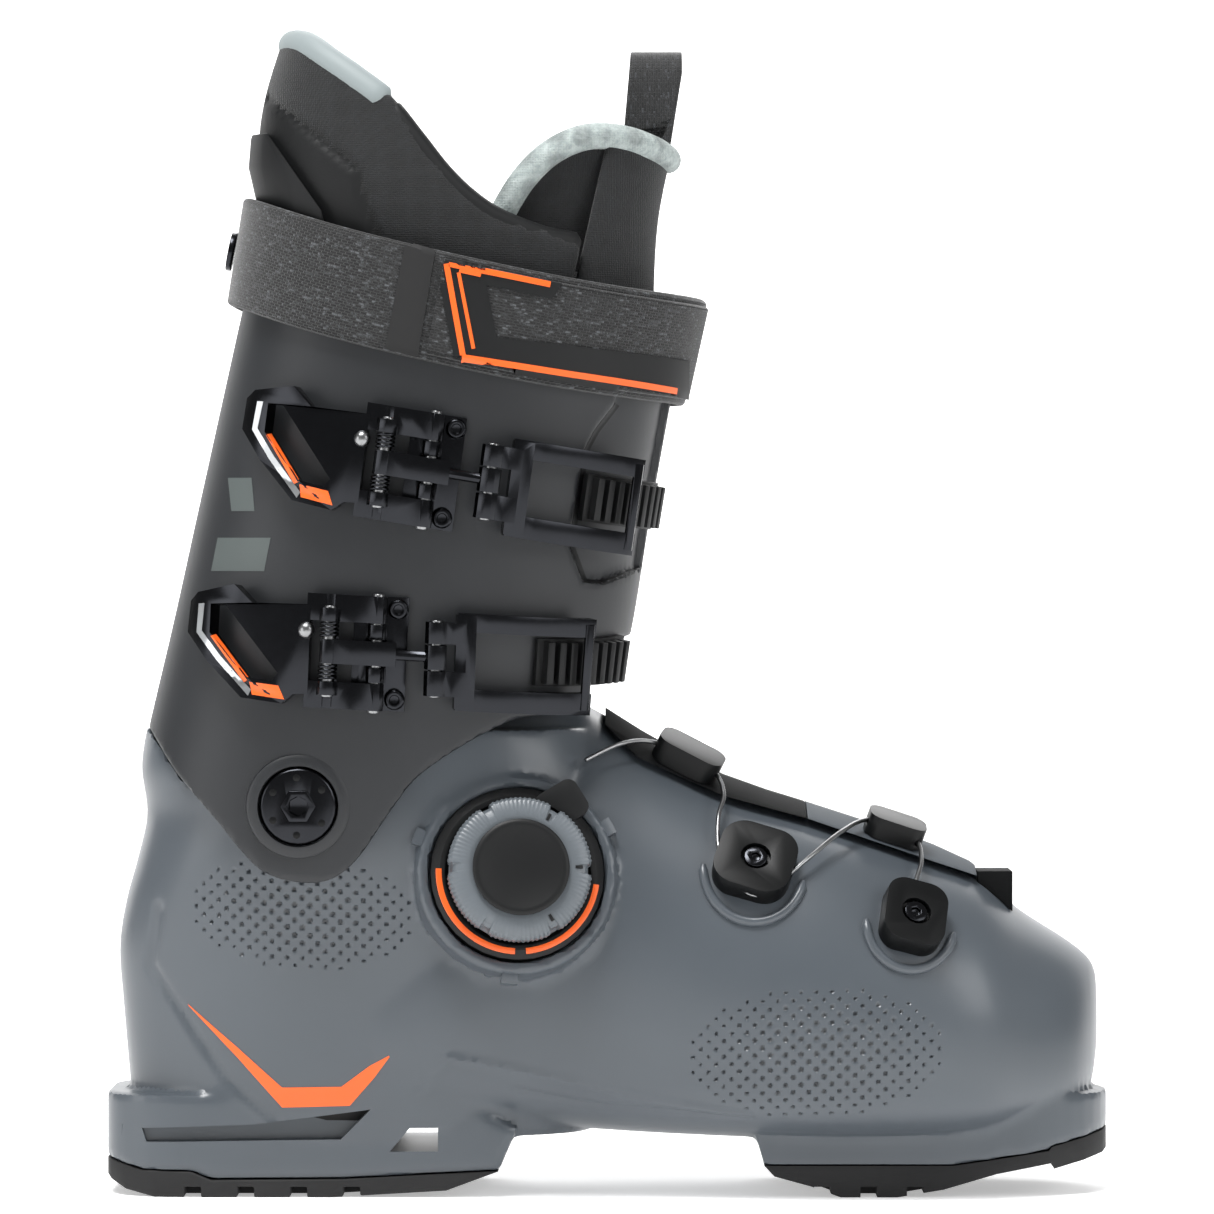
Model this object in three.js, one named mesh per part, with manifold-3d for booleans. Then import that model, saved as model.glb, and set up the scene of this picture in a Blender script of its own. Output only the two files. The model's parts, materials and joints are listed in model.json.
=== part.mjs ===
// An alpine ski boot, right foot: a hollow lower shell with rubber soles, a hinged cuff with two
// buckles and a power strap, a lace dial over the instep and a soft liner inside.
import * as THREE from "three";
import { mergeVertices } from "three/addons/utils/BufferGeometryUtils.js";
import Module from "manifold-3d";

const wasm = await Module();
wasm.setup();

// Driving dimensions in millimetres. +X runs to the toe, -Y to the outer side, +Z up.
const soleLength = 305;
const soleWidth = 69;
const lastHalfWidth = 57;
const shellWall = 4.5;
const lugTop = 31;
const ankleAxisHeight = 118.8;
const legLean = THREE.MathUtils.degToRad(12.5);
const cuffHalfDepth = 67.5;
const cuffHalfWidth = 57;
const cuffTop = 164;
const cuffWall = 4;
const seatGap = 0.3;
const slideGap = 0.8;
const linerWall = 6;
const flapThickness = 3;
const strapWidth = 33;
const strapThickness = 2.4;
const buckleDrop = 57.6;
const lowerBuckleRise = 49.7;
const laceRadius = 0.7;
const laceClearance = 0.35;
const dialRadius = 26;
const dialHeight = 17.5;
const pivotRadius = 11.7;
const screwRadius = 3.6;
const leverLength = 55;
const leverReach = 13.5;
const leverThickness = 4.6;
const catchReach = 17;
const catchLength = 46;
const armSpan = 17;
const pinRadius = 1.7;
const pinClearance = 0.4;
const rackToothCount = 9;
const rackPitch = 3.8;
const footbedThickness = 4;
const flexRoom = 5;
const pivotHub = 5;
const hubDepth = 12;
const pivotAngle = -0.56 * Math.PI;

// Finishes
const paint = (color, roughness, metalness = 0) =>
  new THREE.MeshStandardMaterial({ color, roughness, metalness });
const greyPlastic = paint("#767d83", 0.42);
const cuffPlastic = paint("#3c3e42", 0.5);
const blackPlastic = paint("#151617", 0.3);
const rubber = paint("#1b1b1c", 0.8);
const blackAlloy = paint("#1c1d1f", 0.3, 0.8);
const steel = paint("#9a9b9c", 0.3, 1);
const knobGrey = paint("#5b6064", 0.45);
const webbing = paint("#222325", 0.95);
const knit = paint("#36383b", 0.95);
const paleKnit = paint("#9aa5a4", 0.9);

// ---------------------------------------------------------------- solids and meshes

function solid(geometry) {
  const bare = geometry.index ? geometry.toNonIndexed() : geometry.clone();
  bare.deleteAttribute("normal");
  bare.deleteAttribute("uv");
  const merged = mergeVertices(bare, 1e-4);
  const shape = new wasm.Mesh({
    numProp: 3,
    vertProperties: merged.attributes.position.array,
    triVerts: new Uint32Array(merged.index.array),
  });
  return new wasm.Manifold(shape);
}

function geometryOf(body) {
  const { vertProperties, triVerts } = body.getMesh();
  const geometry = new THREE.BufferGeometry();
  geometry.setAttribute("position", new THREE.BufferAttribute(new Float32Array(vertProperties), 3));
  geometry.setIndex(new THREE.BufferAttribute(new Uint32Array(triVerts), 1));
  geometry.computeVertexNormals();
  return geometry;
}

const boot = new THREE.Group();

function add(name, body, material) {
  const mesh = new THREE.Mesh(geometryOf(body), material);
  mesh.name = name;
  boot.add(mesh);
}

const join = (bodies) => bodies.reduce((all, one) => all.add(one));

// A closed skin through rings of points, each ring with the same number of points.
function loft(rings) {
  const count = rings[0].length;
  const corners = [];
  const faces = [];
  rings.forEach((ring) => ring.forEach((p) => corners.push(p.x, p.y, p.z)));
  for (let r = 0; r < rings.length - 1; r++)
    for (let i = 0; i < count; i++) {
      const a = r * count + i;
      const b = r * count + ((i + 1) % count);
      faces.push(a, b, b + count, a, b + count, a + count);
    }
  const cap = (ring, start, flip) => {
    const centre = ring.reduce((sum, p) => sum.add(p), new THREE.Vector3()).divideScalar(count);
    const hub = corners.length / 3;
    corners.push(centre.x, centre.y, centre.z);
    for (let i = 0; i < count; i++) {
      const a = start + i;
      const b = start + ((i + 1) % count);
      faces.push(...(flip ? [hub, b, a] : [hub, a, b]));
    }
  };
  cap(rings[0], 0, true);
  cap(rings.at(-1), (rings.length - 1) * count, false);
  const build = (order) => {
    const geometry = new THREE.BufferGeometry();
    geometry.setAttribute("position", new THREE.Float32BufferAttribute(corners, 3));
    geometry.setIndex(order);
    return solid(geometry);
  };
  const first = build(faces);
  return first.volume() > 0 ? first : build(faces.slice().reverse());
}

// Rows of numbers made denser by a smooth curve through them.
function smoothRows(rows, steps) {
  const row = (i) => rows[THREE.MathUtils.clamp(i, 0, rows.length - 1)];
  const dense = [];
  for (let i = 0; i < rows.length - 1; i++)
    for (let k = 0; k < steps; k++) {
      const t = k / steps;
      dense.push(row(i).map((_, c) => {
        const [p0, p1, p2, p3] = [row(i - 1)[c], row(i)[c], row(i + 1)[c], row(i + 2)[c]];
        const slope1 = (p2 - p0) / 2;
        const slope2 = (p3 - p1) / 2;
        const rise = p2 - p1;
        return p1 + slope1 * t + (3 * rise - 2 * slope1 - slope2) * t * t
          + (slope1 + slope2 - 2 * rise) * t * t * t;
      }));
    }
  dense.push(rows.at(-1));
  return dense;
}

function rowAt(rows, place) {
  const i = THREE.MathUtils.clamp(rows.findIndex((r) => r[0] > place), 1, rows.length - 1);
  const [low, high] = [rows[i - 1], rows[i]];
  const t = THREE.MathUtils.clamp((place - low[0]) / (high[0] - low[0]), 0, 1);
  return low.map((v, c) => THREE.MathUtils.lerp(v, high[c], t));
}

const bow = (value, power) => Math.sign(value) * Math.abs(value) ** (2 / power);

// An outline drawn in the side view (x, z), pushed through from yFrom to yTo.
function sideCut(points, yFrom, yTo) {
  const shape = new THREE.Shape(points.map(([x, z]) => new THREE.Vector2(x, z)));
  const geometry = new THREE.ExtrudeGeometry(shape, { depth: yTo - yFrom, bevelEnabled: false });
  return solid(geometry.rotateX(Math.PI / 2).translate(0, yTo, 0));
}

// An outline drawn from above (x, y), raised from zFrom to zTo.
function planCut(shape, zFrom, zTo) {
  const depth = zTo - zFrom;
  const geometry = new THREE.ExtrudeGeometry(shape, { depth, bevelEnabled: false, curveSegments: 4 });
  return solid(geometry.translate(0, 0, zFrom));
}

function box(x0, x1, y0, y1, z0, z1) {
  const geometry = new THREE.BoxGeometry(x1 - x0, y1 - y0, z1 - z0);
  return solid(geometry.translate((x0 + x1) / 2, (y0 + y1) / 2, (z0 + z1) / 2));
}

// A turned piece about local +Z: a list of [radius, height] corners that starts and ends on the axis
// or closes on itself.
function turned(profile, segments = 24) {
  const points = profile.map(([r, h]) => new THREE.Vector2(r, h));
  const closed = profile[0][0] > 0 ? [...points, points[0].clone()] : points;
  const geometry = new THREE.LatheGeometry(closed, segments).rotateX(Math.PI / 2);
  const first = solid(geometry);
  if (first.volume() > 0) return first;
  return solid(new THREE.LatheGeometry(closed.slice().reverse(), segments).rotateX(Math.PI / 2));
}

const disc = (radius, from, to, segments = 24) =>
  turned([[0, from], [radius, from], [radius, to], [0, to]], segments);

function roundedSlab(width, height, corner, from, to) {
  const shape = new THREE.Shape();
  const [w, h] = [width / 2, height / 2];
  shape.moveTo(-w + corner, -h);
  shape.lineTo(w - corner, -h).absarc(w - corner, -h + corner, corner, -Math.PI / 2, 0);
  shape.lineTo(w, h - corner).absarc(w - corner, h - corner, corner, 0, Math.PI / 2);
  shape.lineTo(-w + corner, h).absarc(-w + corner, h - corner, corner, Math.PI / 2, Math.PI);
  shape.lineTo(-w, -h + corner).absarc(-w + corner, -h + corner, corner, Math.PI, 1.5 * Math.PI);
  const geometry = new THREE.ExtrudeGeometry(shape, {
    depth: to - from, bevelEnabled: false, curveSegments: 4,
  });
  return solid(geometry.translate(0, 0, from));
}

const placed = (body, matrix) => body.transform(matrix.elements);

// A place on a surface: local z points out of it and local x runs forward along it.
function placeFrom(point, out, forward, turn = 0) {
  const z = out.clone().normalize();
  const x = forward.clone().addScaledVector(z, -forward.dot(z)).normalize();
  const y = z.clone().cross(x);
  const matrix = new THREE.Matrix4().makeBasis(x, y, z).setPosition(point);
  return matrix.multiply(new THREE.Matrix4().makeRotationZ(turn));
}

// ---------------------------------------------------------------- the shell's outer form

const stretch = (x) => (x * soleLength) / 305;
const ankleX = stretch(-92.7);
const widthScale = lastHalfWidth / 57;

// Heel and ankle: [height, back, front, half width]
const heelRows = smoothRows([
  [18, stretch(-145), stretch(-6), 35],
  [34, stretch(-146.5), stretch(-2), 38],
  [57, stretch(-148.5), stretch(4), 40],
  [74, stretch(-149.6), stretch(6), 42],
  [88, stretch(-147.6), stretch(8), 45],
  [102, stretch(-143.8), stretch(8), 47.5],
  [115, stretch(-141.1), stretch(6), 48],
  [129, stretch(-142.8), stretch(2), 47.5],
  [141.5, stretch(-141.2), stretch(-4), 47],
], 2);

// Forefoot: [x, bottom, top, half width, middle]
const footRows = smoothRows([
  [-70, 20, 118, 40, 0],
  [-36, 19.5, 142, 43, 0],
  [-12, 19, 149, 45.5, 0.5],
  [10, 17.8, 137.5, 49, 0],
  [35, 16.8, 124, 53, -1],
  [62, 16, 115, 56.5, -1],
  [88, 16, 106.5, 57, 1],
  [111, 17, 97, 54, 3],
  [126, 20, 85, 46.5, 5.5],
  [140, 24, 76, 36, 7.5],
  [147, 30, 70.5, 23, 8.5],
  [149.7, 42, 66, 10, 9],
].map(([x, ...rest]) => [stretch(x), ...rest]), 2);

const ringSegments = 26;
const innerSegments = 16;

function heelPoint([z, back, front, half], angle, grow) {
  const depth = (front - back) / 2 + grow;
  const x = (front + back) / 2 + depth * bow(Math.cos(angle), 2.5);
  return new THREE.Vector3(x, (half * widthScale + grow) * bow(Math.sin(angle), 2.5), z);
}

function footPoint([x, bottom, top, half, middle], angle, grow) {
  const waist = bottom + 0.36 * (top - bottom);
  const power = Math.sin(angle) > 0 ? 2.15 : 3;
  const height = Math.sin(angle) > 0 ? top - waist + grow : waist - bottom + grow;
  const wide = Math.max(half * widthScale + grow, 1);
  const y = middle + wide * bow(Math.cos(angle), power);
  return new THREE.Vector3(x, y, waist + Math.max(height, 1) * bow(Math.sin(angle), power));
}

const ringOf = (pointAt, row, grow, segments) =>
  Array.from({ length: segments }, (_, i) => pointAt(row, (i * 2 * Math.PI) / segments, grow));

// Each end is carried out or in by grow, so that the form is offset all round.
function formOf(pointAt, rows, grow, segments, growStart, growEnd, axis) {
  const start = rows[0][0] - growStart * grow;
  const end = rows.at(-1)[0] + growEnd * grow;
  const kept = rows.filter(([place], i) =>
    i === 0 || i === rows.length - 1 || (place > start + 1 && place < end - 1));
  const rings = kept.map((row) => ringOf(pointAt, row, grow, segments));
  rings[0].forEach((p) => (p[axis] = start));
  rings.at(-1).forEach((p) => (p[axis] = end));
  return loft(rings);
}

const heelForm = (grow, rows = heelRows, segments = ringSegments) =>
  formOf(heelPoint, rows, grow, segments, 1, -1, "z");
const footForm = (grow, rows = footRows, segments = ringSegments) =>
  formOf(footPoint, rows, grow, segments, 1, 1, "x");
const shellForm = (grow) => heelForm(grow).add(footForm(grow));

// The same form with fewer faces, for the hollows and what lies in them.
const everyOther = (rows) => rows.filter((_, i) => i % 2 === 0);
const innerForm = (grow) => heelForm(grow, everyOther(heelRows), innerSegments)
  .add(footForm(grow, everyOther(footRows), innerSegments));

// The outer side's place at a length x and a height z on the forefoot form.
function onFoot(x, z, grow = 0, turn = 0) {
  const angleAt = (place) => {
    const [, bottom, top] = place;
    const waist = bottom + 0.36 * (top - bottom);
    const rise = THREE.MathUtils.clamp((z - waist) / (top + grow - waist), 0, 1);
    return Math.PI - Math.asin(rise ** (2.15 / 2));
  };
  const row = rowAt(footRows, x);
  return onFootAngle(x, angleAt(row), grow, turn);
}

function onFootAngle(x, angle, grow = 0, turn = 0) {
  const step = 2;
  const at = (px, a) => footPoint(rowAt(footRows, px), a, grow);
  const point = at(x, angle);
  const forward = at(x + step, angle).sub(at(x - step, angle));
  const around = at(x, angle + 0.04).sub(at(x, angle - 0.04));
  const out = around.cross(forward);
  if (out.y * point.y + out.z * (point.z - 60) < 0) out.negate();
  return placeFrom(point, out, forward, turn);
}

// ---------------------------------------------------------------- the leg's form

// u runs forward, w up the leaning leg, from the ankle axis.
const legPoint = (u, y, w) =>
  new THREE.Vector3(
    ankleX + u * Math.cos(legLean) + w * Math.sin(legLean),
    y,
    ankleAxisHeight - u * Math.sin(legLean) + w * Math.cos(legLean),
  );

// [w, middle u, half depth, half width]
const cuffRows = smoothRows([
  [-34, 17, cuffHalfDepth, cuffHalfWidth - 3],
  [0, 17, cuffHalfDepth + 1, cuffHalfWidth - 2],
  [45, 17.5, cuffHalfDepth + 1, cuffHalfWidth - 1],
  [75, 17.5, cuffHalfDepth + 1, cuffHalfWidth],
  [110, 16.5, cuffHalfDepth, cuffHalfWidth],
  [cuffTop, 15.5, cuffHalfDepth - 1, cuffHalfWidth],
], 1);

function legRing([w, middle, depth, half], angle, grow) {
  const power = Math.cos(angle) > 0 ? 2.3 : 2.8;
  const u = middle + (depth + grow) * bow(Math.cos(angle), power);
  return legPoint(u, (half + grow) * bow(Math.sin(angle), power), w);
}

function legForm(grow, rows = cuffRows, segments = ringSegments, over = 0) {
  const ends = rows.map((row) => [...row]);
  ends[0][0] -= over;
  ends.at(-1)[0] += over;
  return loft(ends.map((row) => ringOf(legRing, row, grow, segments)));
}

// A point that follows the cuff: s along it forward from startAngle, w up the leg, n out of it.
const sideTable = (w) => {
  const row = rowAt(cuffRows, w);
  const steps = 180;
  const points = [];
  for (let i = 0; i <= steps; i++) {
    const angle = -Math.PI + (Math.PI * 1.25 * i) / steps;
    points.push(legRing(row, angle, 0));
  }
  return points;
};

function onCuff(startU, w) {
  const points = sideTable(w);
  const lengths = [0];
  for (let i = 1; i < points.length; i++)
    lengths.push(lengths[i - 1] + points[i].distanceTo(points[i - 1]));
  const uOf = (p) => (p.x - ankleX) * Math.cos(legLean) - (p.z - ankleAxisHeight) * Math.sin(legLean);
  const start = points.findIndex((p, i) => i > 2 && uOf(p) > startU);
  return (s, n) => {
    const target = lengths[start] + s;
    const i = THREE.MathUtils.clamp(lengths.findIndex((l) => l > target), 1, points.length - 1);
    const t = (target - lengths[i - 1]) / (lengths[i] - lengths[i - 1]);
    const point = points[i - 1].clone().lerp(points[i], t);
    const ahead = points[i].clone().sub(points[i - 1]).normalize();
    const upLeg = new THREE.Vector3(Math.sin(legLean), 0, Math.cos(legLean));
    return point.addScaledVector(ahead.clone().cross(upLeg).normalize(), n);
  };
}

// ---------------------------------------------------------------- lower shell

const heelBack = stretch(-152.5);
const toeFront = stretch(152.5);

function lugPlan(inset) {
  const half = soleWidth / 2 - inset;
  const back = heelBack + inset;
  const front = toeFront - inset;
  const shape = new THREE.Shape();
  shape.moveTo(0, -half);
  shape.lineTo(front - half * 1.05, -half);
  shape.bezierCurveTo(front - half * 0.3, -half, front, -half * 0.5, front, 0);
  shape.bezierCurveTo(front, half * 0.5, front - half * 0.3, half, front - half * 1.05, half);
  shape.lineTo(back + half * 0.8, half);
  shape.bezierCurveTo(back + half * 0.2, half, back, half * 0.7, back, half * 0.4);
  shape.lineTo(back, -half * 0.4);
  shape.bezierCurveTo(back, -half * 0.7, back + half * 0.2, -half, back + half * 0.8, -half);
  shape.closePath();
  return shape;
}

const heelBottom = [[-33, 8.2], [-80, 5.8], [-120, 5.5], [-126, 8], [-141, 8.4], [-160, 13.2]];
const toeBottom = [[47, 9.8], [104, 9.8], [133, 14], [134, 15.2], [160, 21]];
const across = soleWidth / 2 + 2;
const stretched = (points) => points.map(([x, z]) => [stretch(x), z]);

function heelLug() {
  const outline = stretched([[-27.5, 20.5], [-30.5, 14], ...heelBottom, [-160, 0]]);
  outline.pop();
  outline.push([stretch(-160), lugTop], [stretch(-60), lugTop], [stretch(-38), 26]);
  const block = sideCut(outline, -across, across).intersect(planCut(lugPlan(0), 0, lugTop));
  const slot = sideCut(stretched([[-141, 20.5], [-139, 16.8], [-81, 17.5], [-72, 26.5], [-107, 22]]),
    -across - 1, -soleWidth / 2 + 5);
  const innerSlot = slot.mirror([0, 1, 0]);
  const window = sideCut(stretched([[-66, 13.8], [-51.5, 13.8], [-51.5, 21], [-60, 21]]), -50, 50);
  return block.subtract(slot).subtract(innerSlot).subtract(window);
}

function toeLug() {
  const outline = stretched([[44.6, 17.5], ...toeBottom]);
  outline.push([stretch(160), lugTop - 0.3], [stretch(60), lugTop - 0.3]);
  return sideCut(outline, -across, across).intersect(planCut(lugPlan(0), 0, lugTop));
}

// The cuff's lower edge, seen from the side, as deep as it hangs below the ankle axis.
const cuffEdge = stretched([
  [-150, 143], [-140.5, 141.9], [-129.6, 128], [-118, 115], [-106.8, 102], [-99.8, 97.6], [-90.4, 95.8],
  [-82.1, 97.3], [-74.5, 103.8], [-65.7, 116.6], [-57, 127.6], [-42.2, 137.7], [-27.6, 144.8],
  [-12, 147.5], [-3, 160], [2, 168], [40, 176],
]);

function aboveEdge(drop) {
  const points = cuffEdge.map(([x, z]) => [x, z - drop]);
  return sideCut([...points, [stretch(140), 420], [stretch(-220), 420], [stretch(-220), points[0][1]]],
    -120, 120);
}

const dialOut = new THREE.Vector3(0.1, -0.97, 0.2);
const forwards = new THREE.Vector3(1, 0, 0);
const dialSide = heelPoint(rowAt(heelRows, 97.8), -0.48 * Math.PI, 0).y - 0.6;
const dialFrame = placeFrom(new THREE.Vector3(stretch(-27.7), dialSide, 97.8), dialOut, forwards);

// The shell's ankle stands inside the cuff, and clear of its back when the cuff leans forward.
const ankleRows = cuffRows.map(([w, middle, depth, half]) => [w, middle + flexRoom / 2,
  depth - flexRoom / 2, half]);
const ankleCore = (inset) => legForm(-cuffWall - slideGap - inset, ankleRows, 20, 20);

const pivotFrame = (side) => placeFrom(
  new THREE.Vector3(ankleX, -side * legRing(cuffRows[1], pivotAngle, 0).y, ankleAxisHeight),
  new THREE.Vector3(0, side, 0), forwards);

function lowerShell() {
  const lip = placed(disc(dialRadius + 3.7, -10, 3.2), dialFrame);
  const socket = placed(disc(dialRadius + seatGap, -1.6, 30), dialFrame);
  const cuffSpace = aboveEdge(slideGap).subtract(ankleCore(0));
  const cavity = innerForm(-shellWall);
  const throat = ankleCore(shellWall).intersect(
    box(-400, 400, -200, 200, ankleAxisHeight - 12, 400));
  const instepWindow = box(stretch(-60), stretch(56), -24, 24, 90, 200);
  const pivotBore = disc(pivotHub + seatGap, -20, 20, 16);
  return shellForm(0).add(lip)
    .subtract(cuffSpace)
    .add(heelLug())
    .add(toeLug())
    .subtract(cavity)
    .subtract(throat)
    .subtract(instepWindow)
    .subtract(socket)
    .subtract(placed(pivotBore, pivotFrame(-1)))
    .subtract(placed(pivotBore, pivotFrame(1)));
}

add("lower_shell", lowerShell(), greyPlastic);

// ---------------------------------------------------------------- soles and their screws

function treadPad(topLine, bottomLine, grooves) {
  const top = topLine.map(([x, z]) => [x, z - seatGap]);
  const pad = sideCut(stretched([...top, ...bottomLine]), -across, across)
    .intersect(planCut(lugPlan(0), -1, lugTop));
  const side = soleWidth / 2;
  const cuts = grooves.flatMap((x) => [-1, 1].map((way) => {
    const far = way * (side + 3);
    const near = way * (side - 13);
    return box(stretch(x), stretch(x) + 5, Math.min(far, near), Math.max(far, near), -1, 3.2);
  }));
  return cuts.reduce((left, cut) => left.subtract(cut), pad);
}

const heelPadBottom = [[-160, 7.5], [-152, 5], [-146, 2], [-137, 0], [-84, 0], [-49, 2]];
const toePadBottom = [[160, 14], [134.7, 8.3], [133.8, 10], [117, 7], [101, 2.3], [87, 0], [70, 0],
  [61, 3.3], [50, 6.3]];
const screwHeights = { heel_screw: [-1, 4.5], toe_screw: [-1, 7] };
const screwPlaces = { heel_screw: stretch(-103), toe_screw: stretch(78) };

const soleScrews = Object.keys(screwPlaces).flatMap((kind) => [-1, 1].map((side) => {
  const x = screwPlaces[kind];
  const y = side * 17;
  const at = (body) => body.translate([x, y, 0]);
  const [, top] = screwHeights[kind];
  const head = disc(screwRadius, 1.2, top, 16).subtract(disc(1.6, 0, 2.6, 6));
  return {
    name: `${kind}_${side < 0 ? "outer" : "inner"}`,
    head: at(head),
    seat: at(disc(screwRadius + seatGap, -1, top + seatGap, 16)),
  };
}));
const soleSeats = join(soleScrews.map((screw) => screw.seat));
add("heel_sole", treadPad(heelBottom.slice(0, -1).concat([[-160, 13.2]]), heelPadBottom,
  [-128, -112, -96, -80]).subtract(soleSeats), rubber);
add("toe_sole", treadPad(toeBottom, toePadBottom, [62, 76, 90, 104]).subtract(soleSeats), rubber);
soleScrews.forEach((screw) => add(screw.name, screw.head, steel));

// ---------------------------------------------------------------- instep

const seam = stretched([[-4, 145], [9, 132.4], [35, 120.8], [61, 113.7], [112, 96.3]]);

function overInstep(from, to) {
  const low = seam.map(([x, z]) => [x, z]);
  const region = sideCut([...low, [stretch(140), 88], [stretch(140), 200], [stretch(-4), 200]],
    -60, 60);
  return footForm(flapThickness).subtract(shellForm(seatGap)).intersect(region)
    .intersect(box(from, to, -60, 60, 60, 200));
}

const insertEnd = stretch(60);
const flapEnd = stretch(112);
const laceWay = (x, degrees, height) =>
  footPoint(rowAt(footRows, stretch(x)), THREE.MathUtils.degToRad(degrees), height);
const laceRoute = new THREE.CatmullRomCurve3([
  laceWay(-7, 132, 5.5),
  laceWay(3, 121, 6),
  laceWay(12, 112, 6.5),
  laceWay(23, 106, 6.5),
  laceWay(32, 109, 6.5),
  laceWay(34.8, 117, 5),
  laceWay(33, 128, 4.2),
  laceWay(33.2, 139, 3.4),
  laceWay(37, 146, 3),
  laceWay(44, 148.5, 3),
  laceWay(50, 144, 3.2),
  laceWay(60, 133, 4.4),
  laceWay(70, 119, 5.6),
  laceWay(78, 108, 6.5),
  laceWay(87, 105, 6.5),
  laceWay(93.5, 110, 6),
  laceWay(94.5, 119, 4.6),
  laceWay(93, 127, 3.6),
  laceWay(91.6, 133, 3.2),
]);

function laceTube(radius, steps) {
  const shape = new THREE.Shape();
  shape.absarc(0, 0, radius, 0, 2 * Math.PI);
  const tube = new THREE.ExtrudeGeometry(shape, {
    steps, extrudePath: laceRoute, bevelEnabled: false, curveSegments: 4,
  });
  return solid(tube);
}

const laceSteps = 48;
const laceChannel = laceTube(laceRadius + laceClearance, laceSteps);
const shellSkin = shellForm(seatGap);
const flapSkin = footForm(flapThickness + seatGap);

add("instep_insert", overInstep(stretch(-1), insertEnd), blackPlastic);
add("instep_flap", overInstep(insertEnd + seatGap, flapEnd), greyPlastic);
const hookRow = rowAt(footRows, stretch(117));
add("toe_seal", box(flapEnd + seatGap, stretch(123), -14, 8, 78, hookRow[2] + 5)
  .subtract(shellSkin), blackPlastic);

function laceGuide(name, frame, width, height, thickness, skin) {
  const slab = roundedSlab(width, height, Math.min(width, height) / 3, -6, thickness);
  add(name, placed(slab, frame).subtract(skin).subtract(laceChannel), blackPlastic);
}

const onFlap = (x, degrees) =>
  onFootAngle(stretch(x), THREE.MathUtils.degToRad(degrees), flapThickness);
laceGuide("top_guide_rear", onFlap(23, 107), 21, 14, 6.5, flapSkin.add(shellSkin));
laceGuide("top_guide_front", onFlap(86, 106), 18, 13, 6.5, flapSkin.add(shellSkin));

function screwedGuide(name, frame, width, height, thickness) {
  const slab = roundedSlab(width, height, width / 3.2, -6, thickness);
  const recess = disc(screwRadius + 1, thickness - 2.5, thickness + 1, 16);
  add(name, placed(slab.subtract(recess), frame).subtract(shellSkin).subtract(laceChannel),
    blackPlastic);
  const head = disc(screwRadius, thickness - 2.5 + seatGap, thickness - 0.2, 16);
  const socket = disc(1.6, thickness - 1.6, thickness + 1, 6);
  add(`${name}_screw`, placed(head.subtract(socket), frame), steel);
}

screwedGuide("side_guide", onFoot(stretch(43.7), 100.2), 23.6, 23, 6);
screwedGuide("lace_anchor", onFoot(stretch(90.6), 84), 19, 22, 6);
add("steel_lace", laceTube(laceRadius, laceSteps), steel);

// ---------------------------------------------------------------- lace dial

const dialWallTop = 6;
const spoolTop = 5.4;
const hubRadius = 5;
const exitBlock = roundedSlab(14, 12, 3, 3.6, 8.4)
  .rotate([0, 0, 32]).translate([13, 20.5, 0]);
const dialBase = turned([[0, -1.2], [dialRadius, -1.2], [dialRadius, dialWallTop - 2],
  [dialRadius - 2.5, dialWallTop], [22, dialWallTop], [22, 0.2], [0, 0.2]], 32);
add("dial_base", placed(dialBase.add(exitBlock.subtract(disc(22, 0, 20))), dialFrame)
  .subtract(shellSkin.subtract(placed(disc(dialRadius + 1, -3, 30), dialFrame)))
  .subtract(laceChannel), blackPlastic);
const spool = turned([[0, 0.6], [18, 0.6], [18, 1.6], [13, 2], [13, 4], [18, 4.4], [18, spoolTop],
  [hubRadius, spoolTop], [hubRadius, 12], [0, 12]], 20);
add("dial_spool", placed(spool, dialFrame), blackPlastic);

function dialKnob() {
  const bore = hubRadius + seatGap;
  const knobBase = dialWallTop + seatGap;
  let body = turned([[bore, knobBase], [19.5, knobBase], [21.7, 9], [21.7, 13], [19.5, 15],
    [15, 15.4], [bore, 15.4]], 36);
  const notchCount = 6;
  for (let i = 0; i < notchCount; i++) {
    const angle = (i * 2 * Math.PI) / notchCount;
    const notch = new THREE.BoxGeometry(4, 2.4, 5).translate(21.4, 0, 13.6).rotateZ(angle);
    body = body.subtract(solid(notch));
  }
  return body;
}

add("dial_knob", placed(dialKnob(), dialFrame), knobGrey);
add("dial_cap", placed(turned([[0, 15.7], [14.5, 15.7], [14.5, 16.8], [13, dialHeight],
  [0, dialHeight]], 28), dialFrame), blackPlastic);

// ---------------------------------------------------------------- inside the shell

const lowSpace = (from, to) => box(-400, 400, -200, 200, from, to);
const boardTop = 30;
const linerFloor = boardTop + seatGap + linerWall;
const linerLift = ankleAxisHeight - 12;
const lining = innerForm(-shellWall - 0.4);
const lined = innerForm(-shellWall - 0.4 - linerWall);
add("boot_board", lining.intersect(lowSpace(0, boardTop)).subtract(soleSeats), blackPlastic);
add("liner_foot", lining.intersect(lowSpace(boardTop + seatGap, linerLift))
  .subtract(lined.intersect(lowSpace(linerFloor, 400))), knit);
add("footbed", innerForm(-shellWall - 0.8 - linerWall)
  .intersect(lowSpace(linerFloor + seatGap, linerFloor + seatGap + footbedThickness)), paleKnit);

// ---------------------------------------------------------------- ankle pivots

function pivotDisc(side) {
  const frame = pivotFrame(side);
  const body = turned([[0, -hubDepth], [pivotHub, -hubDepth], [pivotHub, -cuffWall - 0.6],
    [pivotRadius, -cuffWall - 0.6], [pivotRadius, 0.6], [pivotRadius - 1, 1.4], [0, 1.4]], 28);
  return placed(body.subtract(disc(3.2, -2, 3, 6)), frame).subtract(
    shellSkin.subtract(placed(disc(pivotHub + seatGap, -20, 0, 16), frame)).subtract(
      aboveEdge(slideGap).subtract(ankleCore(-seatGap))));
}

add("cant_disc", pivotDisc(-1), blackAlloy);
add("inner_pivot", pivotDisc(1), blackAlloy);

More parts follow.
